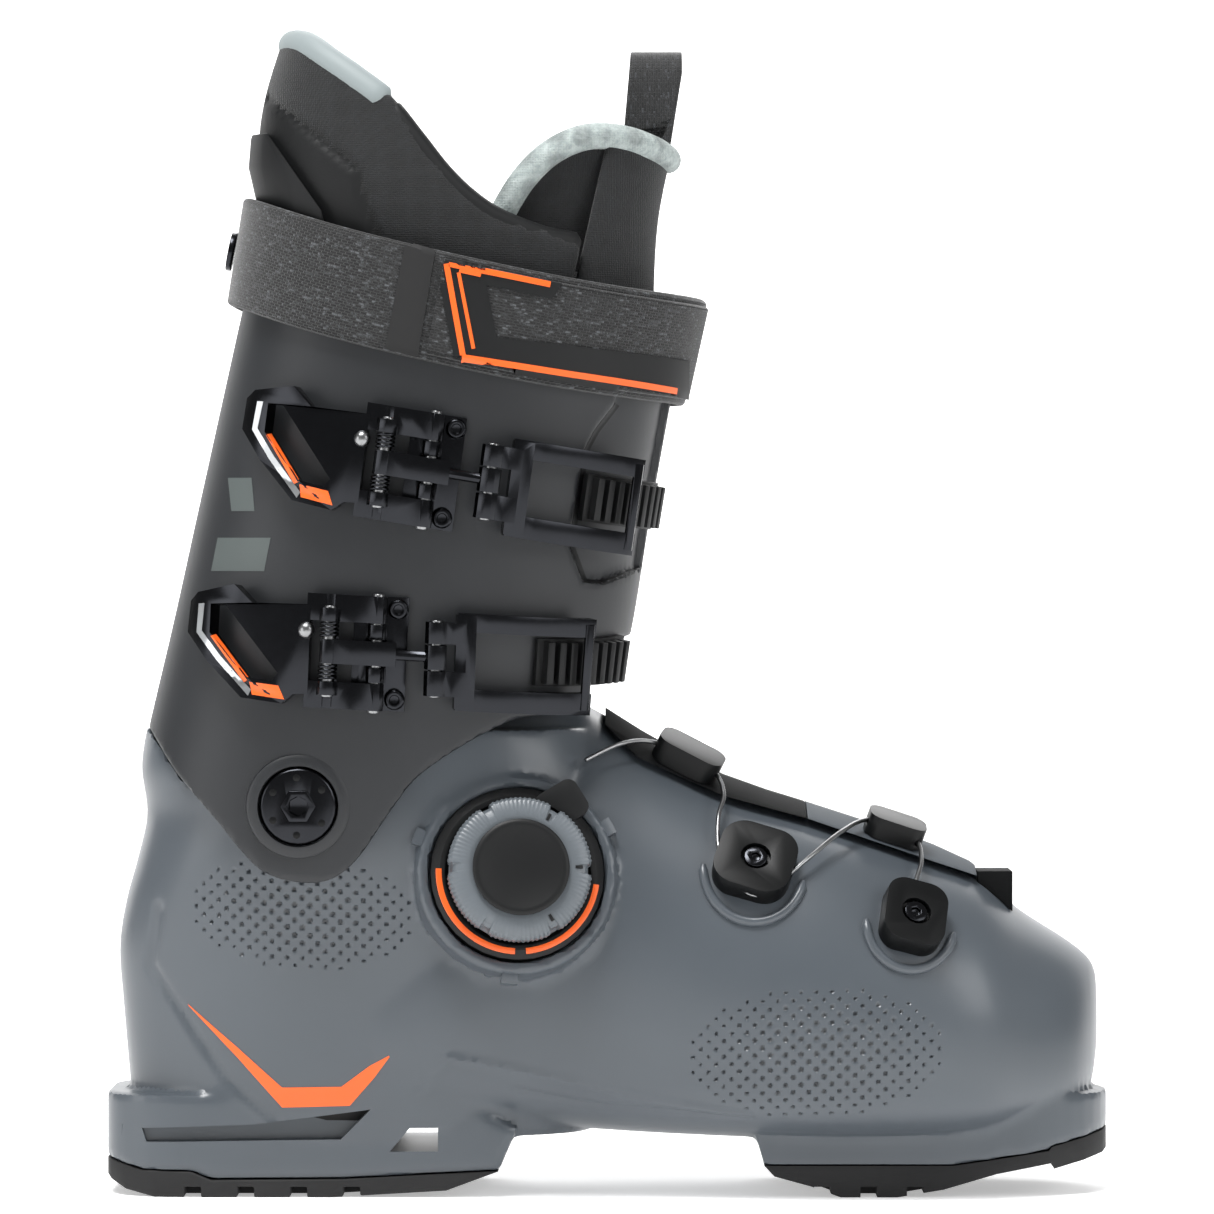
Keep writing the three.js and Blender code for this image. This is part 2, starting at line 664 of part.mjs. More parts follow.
// ---------------------------------------------------------------- cuff

const pivotHoles = [-1, 1].map((side) =>
  placed(disc(pivotRadius + seatGap, -12, 12), pivotFrame(side)));
const cuffBody = legForm(0).subtract(legForm(-cuffWall, cuffRows, ringSegments, 1)).intersect(aboveEdge(0));
add("cuff", cuffBody.subtract(pivotHoles[0]).subtract(pivotHoles[1]), cuffPlastic);

// Cuts in the leg's own frame: u forward, w up.
function legBox(u0, u1, y0, y1, w0, w1) {
  const geometry = new THREE.BoxGeometry(u1 - u0, y1 - y0, w1 - w0)
    .translate((u0 + u1) / 2, (y0 + y1) / 2, (w0 + w1) / 2)
    .rotateY(legLean)
    .translate(ankleX, 0, ankleAxisHeight);
  return solid(geometry);
}

const strapBottom = cuffTop - 21.5;
const strapRows = [
  [strapBottom, 15.5, cuffHalfDepth + 4, cuffHalfWidth + strapThickness + 1],
  [strapBottom + strapWidth, 14.5, cuffHalfDepth + 5, cuffHalfWidth + strapThickness + 1],
];
const strapRing = (from, to) =>
  legForm(to, strapRows).subtract(legForm(from, strapRows, ringSegments, 1));
add("power_strap", strapRing(-strapThickness, 0), webbing);
const endRows = strapRows.map(([w, ...rest], i) => [w + (i ? -2 : 2), ...rest]);
add("strap_end", legForm(strapThickness + seatGap, endRows)
  .subtract(legForm(seatGap, endRows, ringSegments, 1))
  .intersect(legBox(5, 120, -120, -12, 100, 220)), webbing);
const rivetFrame = placeFrom(legPoint(15 - cuffHalfDepth - 4.5, 0, strapBottom + strapWidth / 2),
  new THREE.Vector3(-1, 0, 0.2), new THREE.Vector3(0, 1, 0));
add("strap_rivet", placed(disc(6, 0.6, 2.4, 16), rivetFrame), blackAlloy);

// ---------------------------------------------------------------- liner above the shell

const linerRows = smoothRows([
  [30, 17.5, cuffHalfDepth - cuffWall + 0.4, cuffHalfWidth - cuffWall - 1.6],
  [cuffTop - 16, 16, cuffHalfDepth - cuffWall - 1.6, cuffHalfWidth - cuffWall - 0.6],
  [cuffTop + 1, 15, cuffHalfDepth - cuffWall - 2, cuffHalfWidth - cuffWall - 0.6],
  [185, 8, 64, 53],
  [206, 3.5, 62.5, 50],
  [234, 3, 59.5, 46],
], 1);
const linerPadding = 8;
const tonguePadding = 9;
const tongueFront = 46;
const collar = stretched([[-112, 354.5], [-95, 353.5], [-88, 348], [-66, 334], [-52, 314], [-35, 298],
  [-17, 291], [-4, 288], [60, 284]]);
const linerFoot = stretched([[-160, 146], [-140, 146], [-40, 160], [60, 172]]);
const linerSide = sideCut([...linerFoot, ...collar.slice().reverse()], -100, 100);
add("liner_cuff", legForm(0, linerRows).subtract(legForm(-linerPadding, linerRows, ringSegments, 1))
  .intersect(linerSide)
  .subtract(legBox(tongueFront, 200, -100, 100, 0, 300)), knit);

const tongueRows = [
  [62, 17.5, cuffHalfDepth - cuffWall, cuffHalfWidth - cuffWall - 1.6],
  [cuffTop - 16, 16, cuffHalfDepth - cuffWall - 2, cuffHalfWidth - cuffWall - 1.6],
  [cuffTop + 8, 13, 58.5, 48],
  [196, 8, 59.5, 44],
  [217, 7, 60, 40],
];
add("liner_tongue", legForm(0, tongueRows).subtract(legForm(-tonguePadding, tongueRows, ringSegments, 1))
  .intersect(legBox(tongueFront + seatGap, 200, -100, 100, 0, 300)), knit);

// A webbing loop with its broad faces to the sides, so a finger goes through it from behind.
const loopHalf = 10;
const loopThickness = 2.5;
const loopTop = 347.5;
const loopSide = [[96.2, 318], [96.8, 325], [99.3, loopTop], [114.9, loopTop], [115.5, 343.6],
  [111.7, 318]].map(([x, z]) => [ankleX + x, z]);

function loopArch(inset) {
  const half = loopHalf - inset;
  const top = loopTop - inset;
  const shape = new THREE.Shape([[-half, 300], [half, 300], [half, top - 8], [half * 0.7, top - 2.2],
    [half * 0.3, top], [-half * 0.3, top], [-half * 0.7, top - 2.2], [-half, top - 8]].map(
    ([y, z]) => new THREE.Vector2(y, z)));
  const geometry = new THREE.ExtrudeGeometry(shape, { depth: 80, bevelEnabled: false });
  const turn = new THREE.Matrix4().makeBasis(new THREE.Vector3(0, 1, 0), new THREE.Vector3(0, 0, 1),
    forwards);
  return solid(geometry.translate(0, 0, ankleX + 60).applyMatrix4(turn));
}

add("pull_loop", loopArch(0).subtract(loopArch(loopThickness)).intersect(sideCut(loopSide, -30, 30))
  .subtract(legForm(seatGap, tongueRows, ringSegments, seatGap)), webbing);

// ---------------------------------------------------------------- spoiler

const spoilerRows = linerRows.filter(([w]) => w > cuffTop).map(([w, ...rest]) => [w, ...rest]);
const spoilerEdge = stretched([[-130, 322], [-103, 321], [-86, 297], [-80, 270], [-130, 270]]);
add("spoiler", legForm(3, spoilerRows).subtract(legForm(seatGap, spoilerRows, ringSegments, 1))
  .intersect(sideCut(spoilerEdge, -80, 80))
  .intersect(legBox(-100, -20, -80, 80, cuffTop + 1.2, 230))
  .subtract(legForm(seatGap, strapRows).subtract(
    legForm(-strapThickness - 0.3, strapRows, ringSegments, 1))), blackPlastic);

// ---------------------------------------------------------------- buckles

const hingeHeight = 5.2;
const linkHeight = 9;
const linkHalf = 3.6;
const armInner = 9;
const hubRound = 2.9;

// A buckle's own place on the cuff: a runs forward along the strap line, b up its hinge axis.
function buckle(name, startU, w0, turn) {
  const cosine = Math.cos(turn);
  const sine = Math.sin(turn);
  const bend = (a, b, n) => {
    const s = a * cosine - b * sine;
    return onCuff(startU, w0 + b * cosine + a * sine)(s, n);
  };
  const bent = (geometry) => {
    const positions = geometry.getAttribute("position");
    for (let i = 0; i < positions.count; i++) {
      const point = bend(positions.getX(i), positions.getY(i), positions.getZ(i));
      positions.setXYZ(i, point.x, point.y, point.z);
    }
    return solid(geometry);
  };
  const plate = (points, from, to, holes = []) => {
    const outline = (list) => {
      const corners = list.map(([a, b]) => new THREE.Vector2(a, b));
      return THREE.ShapeUtils.isClockWise(corners) ? corners.reverse() : corners;
    };
    const shape = new THREE.Shape(outline(points));
    shape.holes = holes.map((hole) => new THREE.Path(outline(hole)));
    const geometry = new THREE.ExtrudeGeometry(shape, { depth: to - from, bevelEnabled: false });
    return bent(geometry.translate(0, 0, from));
  };
  const bar = (a0, a1, b0, b1, n0, n1, steps, rise = 0) => {
    const rings = Array.from({ length: steps + 1 }, (_, i) => {
      const a = a0 + ((a1 - a0) * i) / steps;
      const lift = (rise * i) / steps;
      return [bend(a, b0, n0 + lift), bend(a, b1, n0 + lift), bend(a, b1, n1 + lift),
        bend(a, b0, n1 + lift)];
    });
    return loft(rings);
  };
  const rod = (from, to, radius, segments = 12) => {
    const along = to.clone().sub(from);
    const geometry = new THREE.CylinderGeometry(radius, radius, along.length(), segments);
    geometry.applyQuaternion(new THREE.Quaternion().setFromUnitVectors(
      new THREE.Vector3(0, 1, 0), along.clone().normalize()));
    return solid(geometry.translate(...from.clone().lerp(to, 0.5).toArray()));
  };
  const hub = (a, b0, b1, n, radius) => {
    const centre = bend(a, 0, n);
    const up = bend(a, 10, n).sub(bend(a, -10, n)).normalize();
    return rod(centre.clone().addScaledVector(up, b0), centre.clone().addScaledVector(up, b1),
      radius, 10);
  };
  const bore = (a, n) => hub(a, -30, 30, n, pinRadius + pinClearance);
  const hinge = (a, n) => ({
    at: bend(a, 0, n).toArray(),
    axis: bend(a, 10, n).sub(bend(a, -10, n)).normalize().toArray(),
  });
  return { name, bend, plate, bar, rod, hub, bore, hinge };
}

const buckles = [
  buckle("upper", 13.4, cuffTop - buckleDrop, THREE.MathUtils.degToRad(3.3)),
  buckle("lower", 11.4, lowerBuckleRise, THREE.MathUtils.degToRad(9.7)),
];
const catchEnd = catchReach + catchLength;
const rackStart = catchEnd - 13;

function leverOf({ name, plate, bar, hub, bore }) {
  const tail = -leverLength;
  const outline = [
    [tail + 0.2, 12.5], [tail + 2.5, 15.3], [tail + 14, 18.2], [tail + 19.5, 13], [-19, 13.6],
    [-19, -13], [-23, -13.4], [-26.2, -16.4], [tail + 17.5, -15.4], [tail + 6.8, -5], [tail, 3.2],
  ];
  const window = [[tail + 7, 12], [tail + 11.6, 12], [-27.6, -7.4], [-29.2, -10],
    [tail + 18.6, -9.2], [tail + 7.2, 3.4]];
  const body = plate(outline, 3.2, 3.2 + leverThickness, [window]);
  const arms = [-1, 1].map((side) => {
    const [b0, b1] = side > 0 ? [armInner, armSpan] : [-armSpan, -armInner];
    const ear = side > 0 ? [armInner, armInner + 4] : [-armInner - 4, -armInner];
    return bar(-20, 0, b0, b1, 2.6, 7.6, 3)
      .add(hub(0, b0, b1, hingeHeight, hubRound))
      .add(hub(-leverReach, ear[0], ear[1], linkHeight, 3.2))
      .add(bar(-leverReach - 3, -leverReach + 3, ear[0], ear[1], 5, linkHeight, 1));
  });
  add(`${name}_lever`, join([body, ...arms]).subtract(bore(0, hingeHeight))
    .subtract(bore(-leverReach, linkHeight)), blackAlloy);
  add(`${name}_link_pin`, hub(-leverReach, -armInner - 4.6, armInner + 4.6, linkHeight, pinRadius),
    steel);
}

function linkOf({ name, bend, bar, rod, hub, bore }) {
  const block = bar(-leverReach, 6, -linkHalf, linkHalf, linkHeight - 1.7, linkHeight + 2, 3)
    .add(hub(-leverReach, -linkHalf, linkHalf, linkHeight, 2.7));
  const eye = hub(catchReach, -linkHalf, linkHalf, linkHeight, 3.4);
  const shank = rod(bend(5, 0, linkHeight), bend(catchReach, 0, linkHeight), 1.6, 10);
  add(`${name}_link`, join([block, eye, shank]).subtract(bore(-leverReach, linkHeight))
    .subtract(bore(catchReach, linkHeight)), blackAlloy);
}

function catchOf({ name, bar, hub, bore }) {
  const ears = [[linkHalf + 0.5, 10.5], [-11.5, -linkHalf - 0.5]].map(([b0, b1]) =>
    hub(catchReach, b0, b1, linkHeight, 3.4)
      .add(bar(catchReach, catchReach + 9, b0, b1, linkHeight - 2, linkHeight + 2, 2, -1.5)));
  const rear = bar(catchReach + 5.5, catchReach + 11, -15, 13, linkHeight - 3.2, linkHeight + 0.6, 2);
  const top = bar(catchReach + 6, catchEnd, 8, 13.5, 5, 8.6, 5);
  const low = bar(catchReach + 6, catchEnd, -15.5, -9, 5, 8.6, 5);
  const front = hub(catchEnd - 2, -14, 12, 8.4, 1.5);
  add(`${name}_catch`, join([...ears, rear, top, low, front]).subtract(bore(catchReach, linkHeight)),
    blackAlloy);
  add(`${name}_catch_pin`, hub(catchReach, -12, 11, linkHeight, pinRadius), steel);
}

function fixedPartsOf({ name, bar, hub, bore }) {
  const base = bar(-7, 9, -armSpan, armSpan, -1.5, 1.9, 3);
  const ears = [[-8.6, -4.2], [4.2, 8.6]].map(([b0, b1]) =>
    bar(-2.9, 2.9, b0, b1, 0.5, hingeHeight, 1).add(hub(0, b0, b1, hingeHeight, hubRound)));
  const cuffSkin = legForm(seatGap);
  add(`${name}_bracket`, join([base, ...ears]).subtract(bore(0, hingeHeight)).subtract(cuffSkin),
    blackAlloy);
  add(`${name}_hinge_pin`, hub(0, -armSpan - 0.8, armSpan + 0.8, hingeHeight, pinRadius), steel);
  let rack = bar(rackStart - 2, rackStart + rackToothCount * rackPitch, -7.6, 6.6, -1.5, 2.4, 6);
  for (let i = 0; i < rackToothCount; i++) {
    const a = rackStart + i * rackPitch;
    rack = rack.add(bar(a, a + rackPitch * 0.55, -6.8, 5.8, 2, 5.4, 1));
  }
  add(`${name}_rack`, rack.subtract(cuffSkin), blackPlastic);
}

buckles.forEach((one) => {
  fixedPartsOf(one);
  leverOf(one);
  linkOf(one);
  catchOf(one);
});

// The origin is the middle of the boot's footprint, on the ground.
const extent = new THREE.Box3().setFromObject(boot);
const middle = extent.getCenter(new THREE.Vector3());
boot.position.set(-middle.x, -middle.y, -extent.min.z);
boot.updateMatrixWorld(true);

export default boot;
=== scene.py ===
import json
import math
import bmesh
import bpy
from mathutils import Matrix, Vector
from mathutils.bvhtree import BVHTree

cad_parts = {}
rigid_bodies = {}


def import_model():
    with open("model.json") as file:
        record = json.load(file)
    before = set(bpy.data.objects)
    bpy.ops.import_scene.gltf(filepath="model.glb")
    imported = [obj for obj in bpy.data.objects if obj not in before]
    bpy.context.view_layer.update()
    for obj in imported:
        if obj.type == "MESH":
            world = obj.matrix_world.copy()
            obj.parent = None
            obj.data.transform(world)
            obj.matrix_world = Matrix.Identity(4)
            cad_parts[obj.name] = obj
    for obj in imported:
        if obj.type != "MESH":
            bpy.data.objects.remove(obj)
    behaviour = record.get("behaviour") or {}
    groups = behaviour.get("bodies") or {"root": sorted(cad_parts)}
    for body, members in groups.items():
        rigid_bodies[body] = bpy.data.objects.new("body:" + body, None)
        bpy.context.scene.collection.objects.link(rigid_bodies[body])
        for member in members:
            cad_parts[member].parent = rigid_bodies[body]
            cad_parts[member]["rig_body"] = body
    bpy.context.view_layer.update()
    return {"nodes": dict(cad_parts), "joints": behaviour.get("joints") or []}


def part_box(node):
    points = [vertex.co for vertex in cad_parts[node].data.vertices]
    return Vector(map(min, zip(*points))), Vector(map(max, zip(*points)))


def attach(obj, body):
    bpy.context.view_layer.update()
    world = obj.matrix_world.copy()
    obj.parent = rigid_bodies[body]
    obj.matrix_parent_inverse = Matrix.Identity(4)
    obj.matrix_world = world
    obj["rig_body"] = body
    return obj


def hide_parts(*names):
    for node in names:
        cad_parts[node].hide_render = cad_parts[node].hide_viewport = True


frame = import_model()
nodes = frame["nodes"]
unit = 0.001  # the tables below are in millimetres
soleLow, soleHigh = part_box("heel_sole")
shellLow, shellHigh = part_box("lower_shell")
sideShift = (soleLow.y + soleHigh.y) / 2
stretchX = (shellHigh.x - shellLow.x) / 0.305
jointAt = {joint["name"]: joint for joint in frame["joints"]}
toeward = Vector((1, 0, 0))


# ---- small helpers, all in metres unless a name says mm

def mmPoint(x, y, z):
    return Vector((x * unit * stretchX, y * unit + sideShift, z * unit))


def pickOnly(piece):
    bpy.ops.object.select_all(action="DESELECT")
    piece.select_set(True)
    bpy.context.view_layer.objects.active = piece


def meshPiece(name, verts, faces):
    data = bpy.data.meshes.new(name)
    data.from_pydata([tuple(v) for v in verts], [], faces)
    data.update()
    piece = bpy.data.objects.new(name, data)
    bpy.context.scene.collection.objects.link(piece)
    return piece


def tidyMesh(piece, gap=1e-6):
    work = bmesh.new()
    work.from_mesh(piece.data)
    bmesh.ops.remove_doubles(work, verts=work.verts, dist=gap)
    bmesh.ops.recalc_face_normals(work, faces=work.faces)
    work.to_mesh(piece.data)
    work.free()


def addModifier(piece, kind, **settings):
    modifier = piece.modifiers.new(kind.title(), kind)
    for key, value in settings.items():
        setattr(modifier, key, value)
    return modifier


def applyModifiers(piece):
    pickOnly(piece)
    for modifier in list(piece.modifiers):
        bpy.ops.object.modifier_apply(modifier=modifier.name)


def copyPiece(piece, name):
    twin = bpy.data.objects.new(name, piece.data.copy())
    bpy.context.scene.collection.objects.link(twin)
    return twin


def combine(piece, tool, operation):
    addModifier(piece, "BOOLEAN", object=tool, operation=operation, solver="EXACT")
    applyModifiers(piece)
    bpy.data.objects.remove(tool)


def joinPieces(pieces):
    bpy.ops.object.select_all(action="DESELECT")
    for piece in pieces:
        piece.select_set(True)
    bpy.context.view_layer.objects.active = pieces[0]
    bpy.ops.object.join()
    return pieces[0]


def remesh(piece, voxel, factor, rounds):
    piece.data.remesh_voxel_size = voxel
    pickOnly(piece)
    bpy.ops.object.voxel_remesh()
    addModifier(piece, "SMOOTH", factor=factor, iterations=rounds)
    applyModifiers(piece)


def bevelEdges(piece, width, segments=2, angle=32):
    addModifier(piece, "BEVEL", width=width, segments=segments, limit_method="ANGLE",
                angle_limit=math.radians(angle), harden_normals=False)
    applyModifiers(piece)


def shadeSmooth(piece, angle=38):
    pickOnly(piece)
    bpy.ops.object.shade_smooth_by_angle(angle=math.radians(angle))


def place(piece, body, material, replaced=()):
    piece.data.materials.clear()
    piece.data.materials.append(material)
    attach(piece, body)
    if replaced:
        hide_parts(*replaced)
    return piece


def refine(node, material, width=0.0004, segments=2, angle=32, bodyName=None):
    source = nodes[node]
    piece = copyPiece(source, node + "_fine")
    work = bmesh.new()
    work.from_mesh(piece.data)
    bmesh.ops.remove_doubles(work, verts=work.verts, dist=2e-6)
    bmesh.ops.dissolve_limit(work, angle_limit=math.radians(1.5), verts=work.verts,
                             edges=work.edges)
    work.to_mesh(piece.data)
    work.free()
    bevelEdges(piece, width, segments, angle)
    shadeSmooth(piece, 34)
    return place(piece, bodyName or source["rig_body"], material, [node])


# ---- materials

def newMaterial(name):
    material = bpy.data.materials.new(name)
    material.use_nodes = True
    tree = material.node_tree
    tree.nodes.clear()
    output = tree.nodes.new("ShaderNodeOutputMaterial")
    shader = tree.nodes.new("ShaderNodeBsdfPrincipled")
    tree.links.new(shader.outputs[0], output.inputs[0])
    return material, tree, shader


def addNode(tree, kind, inputs=None, **settings):
    node = tree.nodes.new(kind)
    for key, value in settings.items():
        setattr(node, key, value)
    for key, value in (inputs or {}).items():
        if isinstance(value, bpy.types.NodeSocket):
            tree.links.new(value, node.inputs[key])
        else:
            node.inputs[key].default_value = value
    return node


def colourRamp(tree, source, stops):
    ramp = addNode(tree, "ShaderNodeValToRGB", {"Fac": source})
    while len(ramp.color_ramp.elements) < len(stops):
        ramp.color_ramp.elements.new(0.5)
    for element, (place_, value) in zip(ramp.color_ramp.elements, stops):
        element.position = place_
        element.color = value if len(value) == 4 else (*value, 1)
    return ramp.outputs[0]


def grey(value):
    return (value, value, value)


def linear(hexColour):
    parts = [int(hexColour[i:i + 2], 16) / 255 for i in (1, 3, 5)]
    return tuple(c / 12.92 if c <= 0.04045 else ((c + 0.055) / 1.055) ** 2.4 for c in parts)


def scaled(colour, factor):
    return tuple(min(c * factor, 1) for c in colour)


def mouldedPlastic(name, colour, rough, grain=0.05, grainScale=900, coat=0.0, paintedShadeName=None, gloss=0.5):
    material, tree, shader = newMaterial(name)
    coords = addNode(tree, "ShaderNodeTexCoord").outputs["Object"]
    cloud = addNode(tree, "ShaderNodeTexNoise", {"Vector": coords, "Scale": 14.0, "Detail": 4.0})
    fine = addNode(tree, "ShaderNodeTexNoise", {"Vector": coords, "Scale": grainScale, "Detail": 2.0})
    tint = colourRamp(tree, cloud.outputs["Fac"], [(0.3, scaled(colour, 0.93)), (0.7, scaled(colour, 1.06))])
    # painted shade: where the named attribute is set, the colour is darkened to 0.28 of its tone (the shell's
    # dimples)
    if paintedShadeName:
        shade = addNode(tree, "ShaderNodeAttribute", attribute_name=paintedShadeName)
        dark = addNode(tree, "ShaderNodeMixRGB", {"Fac": shade.outputs["Fac"], "Color1": tint,
                                                  "Color2": (*scaled(colour, 0.28), 1)})
        tint = dark.outputs[0]
    tree.links.new(tint, shader.inputs["Base Color"])
    roughness = colourRamp(tree, cloud.outputs["Fac"],
                           [(0.25, grey(rough * 0.9)), (0.75, grey(rough * 1.12))])
    tree.links.new(roughness, shader.inputs["Roughness"])
    bump = addNode(tree, "ShaderNodeBump", {"Strength": grain, "Distance": 0.0002,
                                            "Height": fine.outputs["Fac"]})
    tree.links.new(bump.outputs[0], shader.inputs["Normal"])
    shader.inputs["Coat Weight"].default_value = coat
    shader.inputs["Specular IOR Level"].default_value = gloss
    shader.inputs["Coat Roughness"].default_value = 0.2
    return material


def brushedMetal(name, colour, rough, grainScale=(60.0, 60.0, 1400.0)):
    material, tree, shader = newMaterial(name)
    coords = addNode(tree, "ShaderNodeTexCoord").outputs["Object"]
    stretchNode = addNode(tree, "ShaderNodeMapping", {"Vector": coords, "Scale": grainScale})
    grain = addNode(tree, "ShaderNodeTexNoise", {"Vector": stretchNode.outputs[0], "Scale": 1.0,
                                                 "Detail": 3.0})
    cloud = addNode(tree, "ShaderNodeTexNoise", {"Vector": coords, "Scale": 60.0, "Detail": 3.0})
    tint = colourRamp(tree, cloud.outputs["Fac"], [(0.3, scaled(colour, 0.95)), (0.7, scaled(colour, 1.05))])
    tree.links.new(tint, shader.inputs["Base Color"])
    roughness = colourRamp(tree, grain.outputs["Fac"], [(0.3, grey(rough * 0.92)), (0.7, grey(rough * 1.08))])
    tree.links.new(roughness, shader.inputs["Roughness"])
    bump = addNode(tree, "ShaderNodeBump", {"Strength": 0.03, "Distance": 0.0001,
                                            "Height": grain.outputs["Fac"]})
    tree.links.new(bump.outputs[0], shader.inputs["Normal"])
    shader.inputs["Metallic"].default_value = 1.0
    return material


shellGrey = linear("#4b5157")
cuffGrey = linear("#1f2124")
orangeColour = linear("#f4641f")
shellPlastic = mouldedPlastic("shellPlastic", shellGrey, 0.36, 0.04, coat=0.15, paintedShadeName="shade")
lugPlastic = mouldedPlastic("lugPlastic", shellGrey, 0.36, 0.05, coat=0.15)
cuffPlastic = mouldedPlastic("cuffPlastic", cuffGrey, 0.47, 0.09, 1500)
blackPlastic = mouldedPlastic("blackPlastic", linear("#101112"), 0.5, 0.05, gloss=0.3)
glossBlack = mouldedPlastic("glossBlack", linear("#08090a"), 0.42, 0.03, gloss=0.22)
dialGrey = mouldedPlastic("dialGrey", linear("#62686d"), 0.36, 0.12, 1800)
flapPlastic = mouldedPlastic("flapPlastic", scaled(shellGrey, 0.8), 0.65, 0.05, gloss=0.15)
softInsert = mouldedPlastic("softInsert", linear("#0c0d0e"), 0.75, 0.15, 1200, gloss=0.12)
soleRubber = mouldedPlastic("soleRubber", linear("#161617"), 0.72, 0.25, 700)
orangePaint = mouldedPlastic("orangePaint", orangeColour, 0.34, 0.03)
greyPrint = mouldedPlastic("greyPrint", linear("#4d5453"), 0.5, 0.04)
blackAlloy = brushedMetal("blackAlloy", linear("#2e2f32"), 0.22, (500.0, 500.0, 500.0))
brightSteel = brushedMetal("brightSteel", linear("#8f9091"), 0.3, (900.0, 900.0, 900.0))
silverEdge = brushedMetal("silverEdge", linear("#c4c7c9"), 0.3, (300.0, 300.0, 900.0))
print("materials ready")


# ---- forms shared by the shell, the cuff and the liner; every row is in mm

legLean = math.radians(12.5)
ankle = Vector(jointAt["cuff_flex"]["pos_m"])


def smoothRows(rows, steps):
    dense = []
    last = len(rows) - 1
    for i in range(last):
        for k in range(steps):
            t = k / steps
            row = []
            for p0, p1, p2, p3 in zip(rows[max(i - 1, 0)], rows[i], rows[i + 1], rows[min(i + 2, last)]):
                slope1, slope2, rise = (p2 - p0) / 2, (p3 - p1) / 2, p2 - p1
                row.append(p1 + slope1 * t + (3 * rise - 2 * slope1 - slope2) * t ** 2
                           + (slope1 + slope2 - 2 * rise) * t ** 3)
            dense.append(row)
    dense.append(list(rows[-1]))
    return dense


def bow(value, power):
    return math.copysign(abs(value) ** (2 / power), value)


def rowAt(rows, where):
    for low, high in zip(rows, rows[1:]):
        if where <= high[0]:
            t = min(max((where - low[0]) / (high[0] - low[0]), 0), 1)
            return [a + (b - a) * t for a, b in zip(low, high)]
    return list(rows[-1])


# height, back, front, half width
heelRows = [(18, -145, -6, 35), (34, -146.5, -2, 38), (57, -148.5, 4, 40), (74, -149.6, 6, 42),
            (88, -147.6, 8, 45), (102, -143.8, 8, 47.5), (115, -141.1, 6, 48), (129, -142.8, 2, 47.5),
            (141.5, -141.2, -4, 47)]
# x, bottom, top, half width, middle
footRows = [(-70, 20, 118, 40, 0), (-36, 19.5, 142, 43, 0), (-12, 19, 149, 45.5, 0.5),
            (10, 17.8, 137.5, 49, 0), (35, 16.8, 124, 53, -1), (62, 16, 115, 56.5, -1),
            (88, 16, 106.5, 57, 1), (111, 17, 97, 54, 3), (126, 20, 85, 46.5, 5.5),
            (140, 24, 76, 36, 7.5), (147, 30, 70.5, 23, 8.5), (149.7, 42, 66, 10, 9)]
heelFine = smoothRows(heelRows, 8)
footFine = smoothRows(footRows, 8)


def heelPoint(row, angle, grow=0):
    height, back, front, half = row
    depth = (front - back) / 2 + grow
    x = (front + back) / 2 + depth * bow(math.cos(angle), 2.5)
    return mmPoint(x, (half + grow) * bow(math.sin(angle), 2.5), height)


def footPoint(row, angle, grow=0):
    x, bottom, top, half, middle = row
    waist = bottom + 0.36 * (top - bottom)
    power = 2.15 if math.sin(angle) > 0 else 3
    height = (top - waist if math.sin(angle) > 0 else waist - bottom) + grow
    y = middle + max(half + grow, 1) * bow(math.cos(angle), power)
    return mmPoint(x, y, waist + max(height, 1) * bow(math.sin(angle), power))


def legAxes():
    forward = Vector((math.cos(legLean), 0, -math.sin(legLean)))
    upward = Vector((math.sin(legLean), 0, math.cos(legLean)))
    return forward, upward


def legPoint(u, y, w):
    forward, upward = legAxes()
    spot = Vector((ankle.x, sideShift, ankle.z)) + (forward * u + upward * w) * unit
    return spot + Vector((0, y * unit, 0))


# w up the leg, middle u, half depth, half width
cuffRows = [(-34, 17, 67.5, 54), (0, 17, 68.5, 55), (45, 17.5, 68.5, 56), (75, 17.5, 68.5, 57),
            (110, 16.5, 67.5, 57), (164, 15.5, 66.5, 57)]
cuffFine = smoothRows(cuffRows, 6)


def legRing(row, angle, grow=0):
    w, middle, depth, half = row
    power = 2.3 if math.cos(angle) > 0 else 2.8
    u = middle + (depth + grow) * bow(math.cos(angle), power)
    return legPoint(u, (half + grow) * bow(math.sin(angle), power), w)


def loftFaces(ringCount, segments, closed=True):
    faces = []
    for r in range(ringCount - 1):
        for i in range(segments if closed else segments - 1):
            a, b = r * segments + i, r * segments + (i + 1) % segments
            faces.append((a, b, b + segments, a + segments))
    return faces


def ringTube(name, verts, around, gap=1e-8):
    rings = len(verts) // around
    faces = loftFaces(rings, around)
    faces += [tuple(reversed(range(around))), tuple(range(len(verts) - around, len(verts)))]
    piece = meshPiece(name, verts, faces)
    tidyMesh(piece, gap)
    return piece


def loft(name, rings):
    return ringTube(name, [p for ring in rings for p in ring], len(rings[0]), 1e-7)


def longerRows(rows):
    longer = [list(row) for row in rows]
    longer[0][0] -= 2
    longer[-1][0] += 2
    return longer


def ringsOf(pointAt, rows, grow, segments):
    return [[pointAt(row, 2 * math.pi * i / segments, grow) for i in range(segments)] for row in rows]


def sidePrism(name, outline, yFrom, yTo):
    return loft(name, [[mmPoint(x, y, z) for x, z in outline] for y in (yFrom, yTo)])


def curveThrough(points, steps):
    return [tuple(row) for row in smoothRows(points, steps)]


cuffEdge = curveThrough([(-150, 143), (-140.5, 141.9), (-129.6, 128), (-118, 115), (-106.8, 102),
                         (-99.8, 97.6), (-90.4, 95.8), (-82.1, 97.3), (-74.5, 103.8), (-65.7, 116.6),
                         (-57, 127.6), (-42.2, 137.7), (-27.6, 144.8), (-12, 147.5), (-3, 160), (2, 168),
                         (40, 176)], 6)


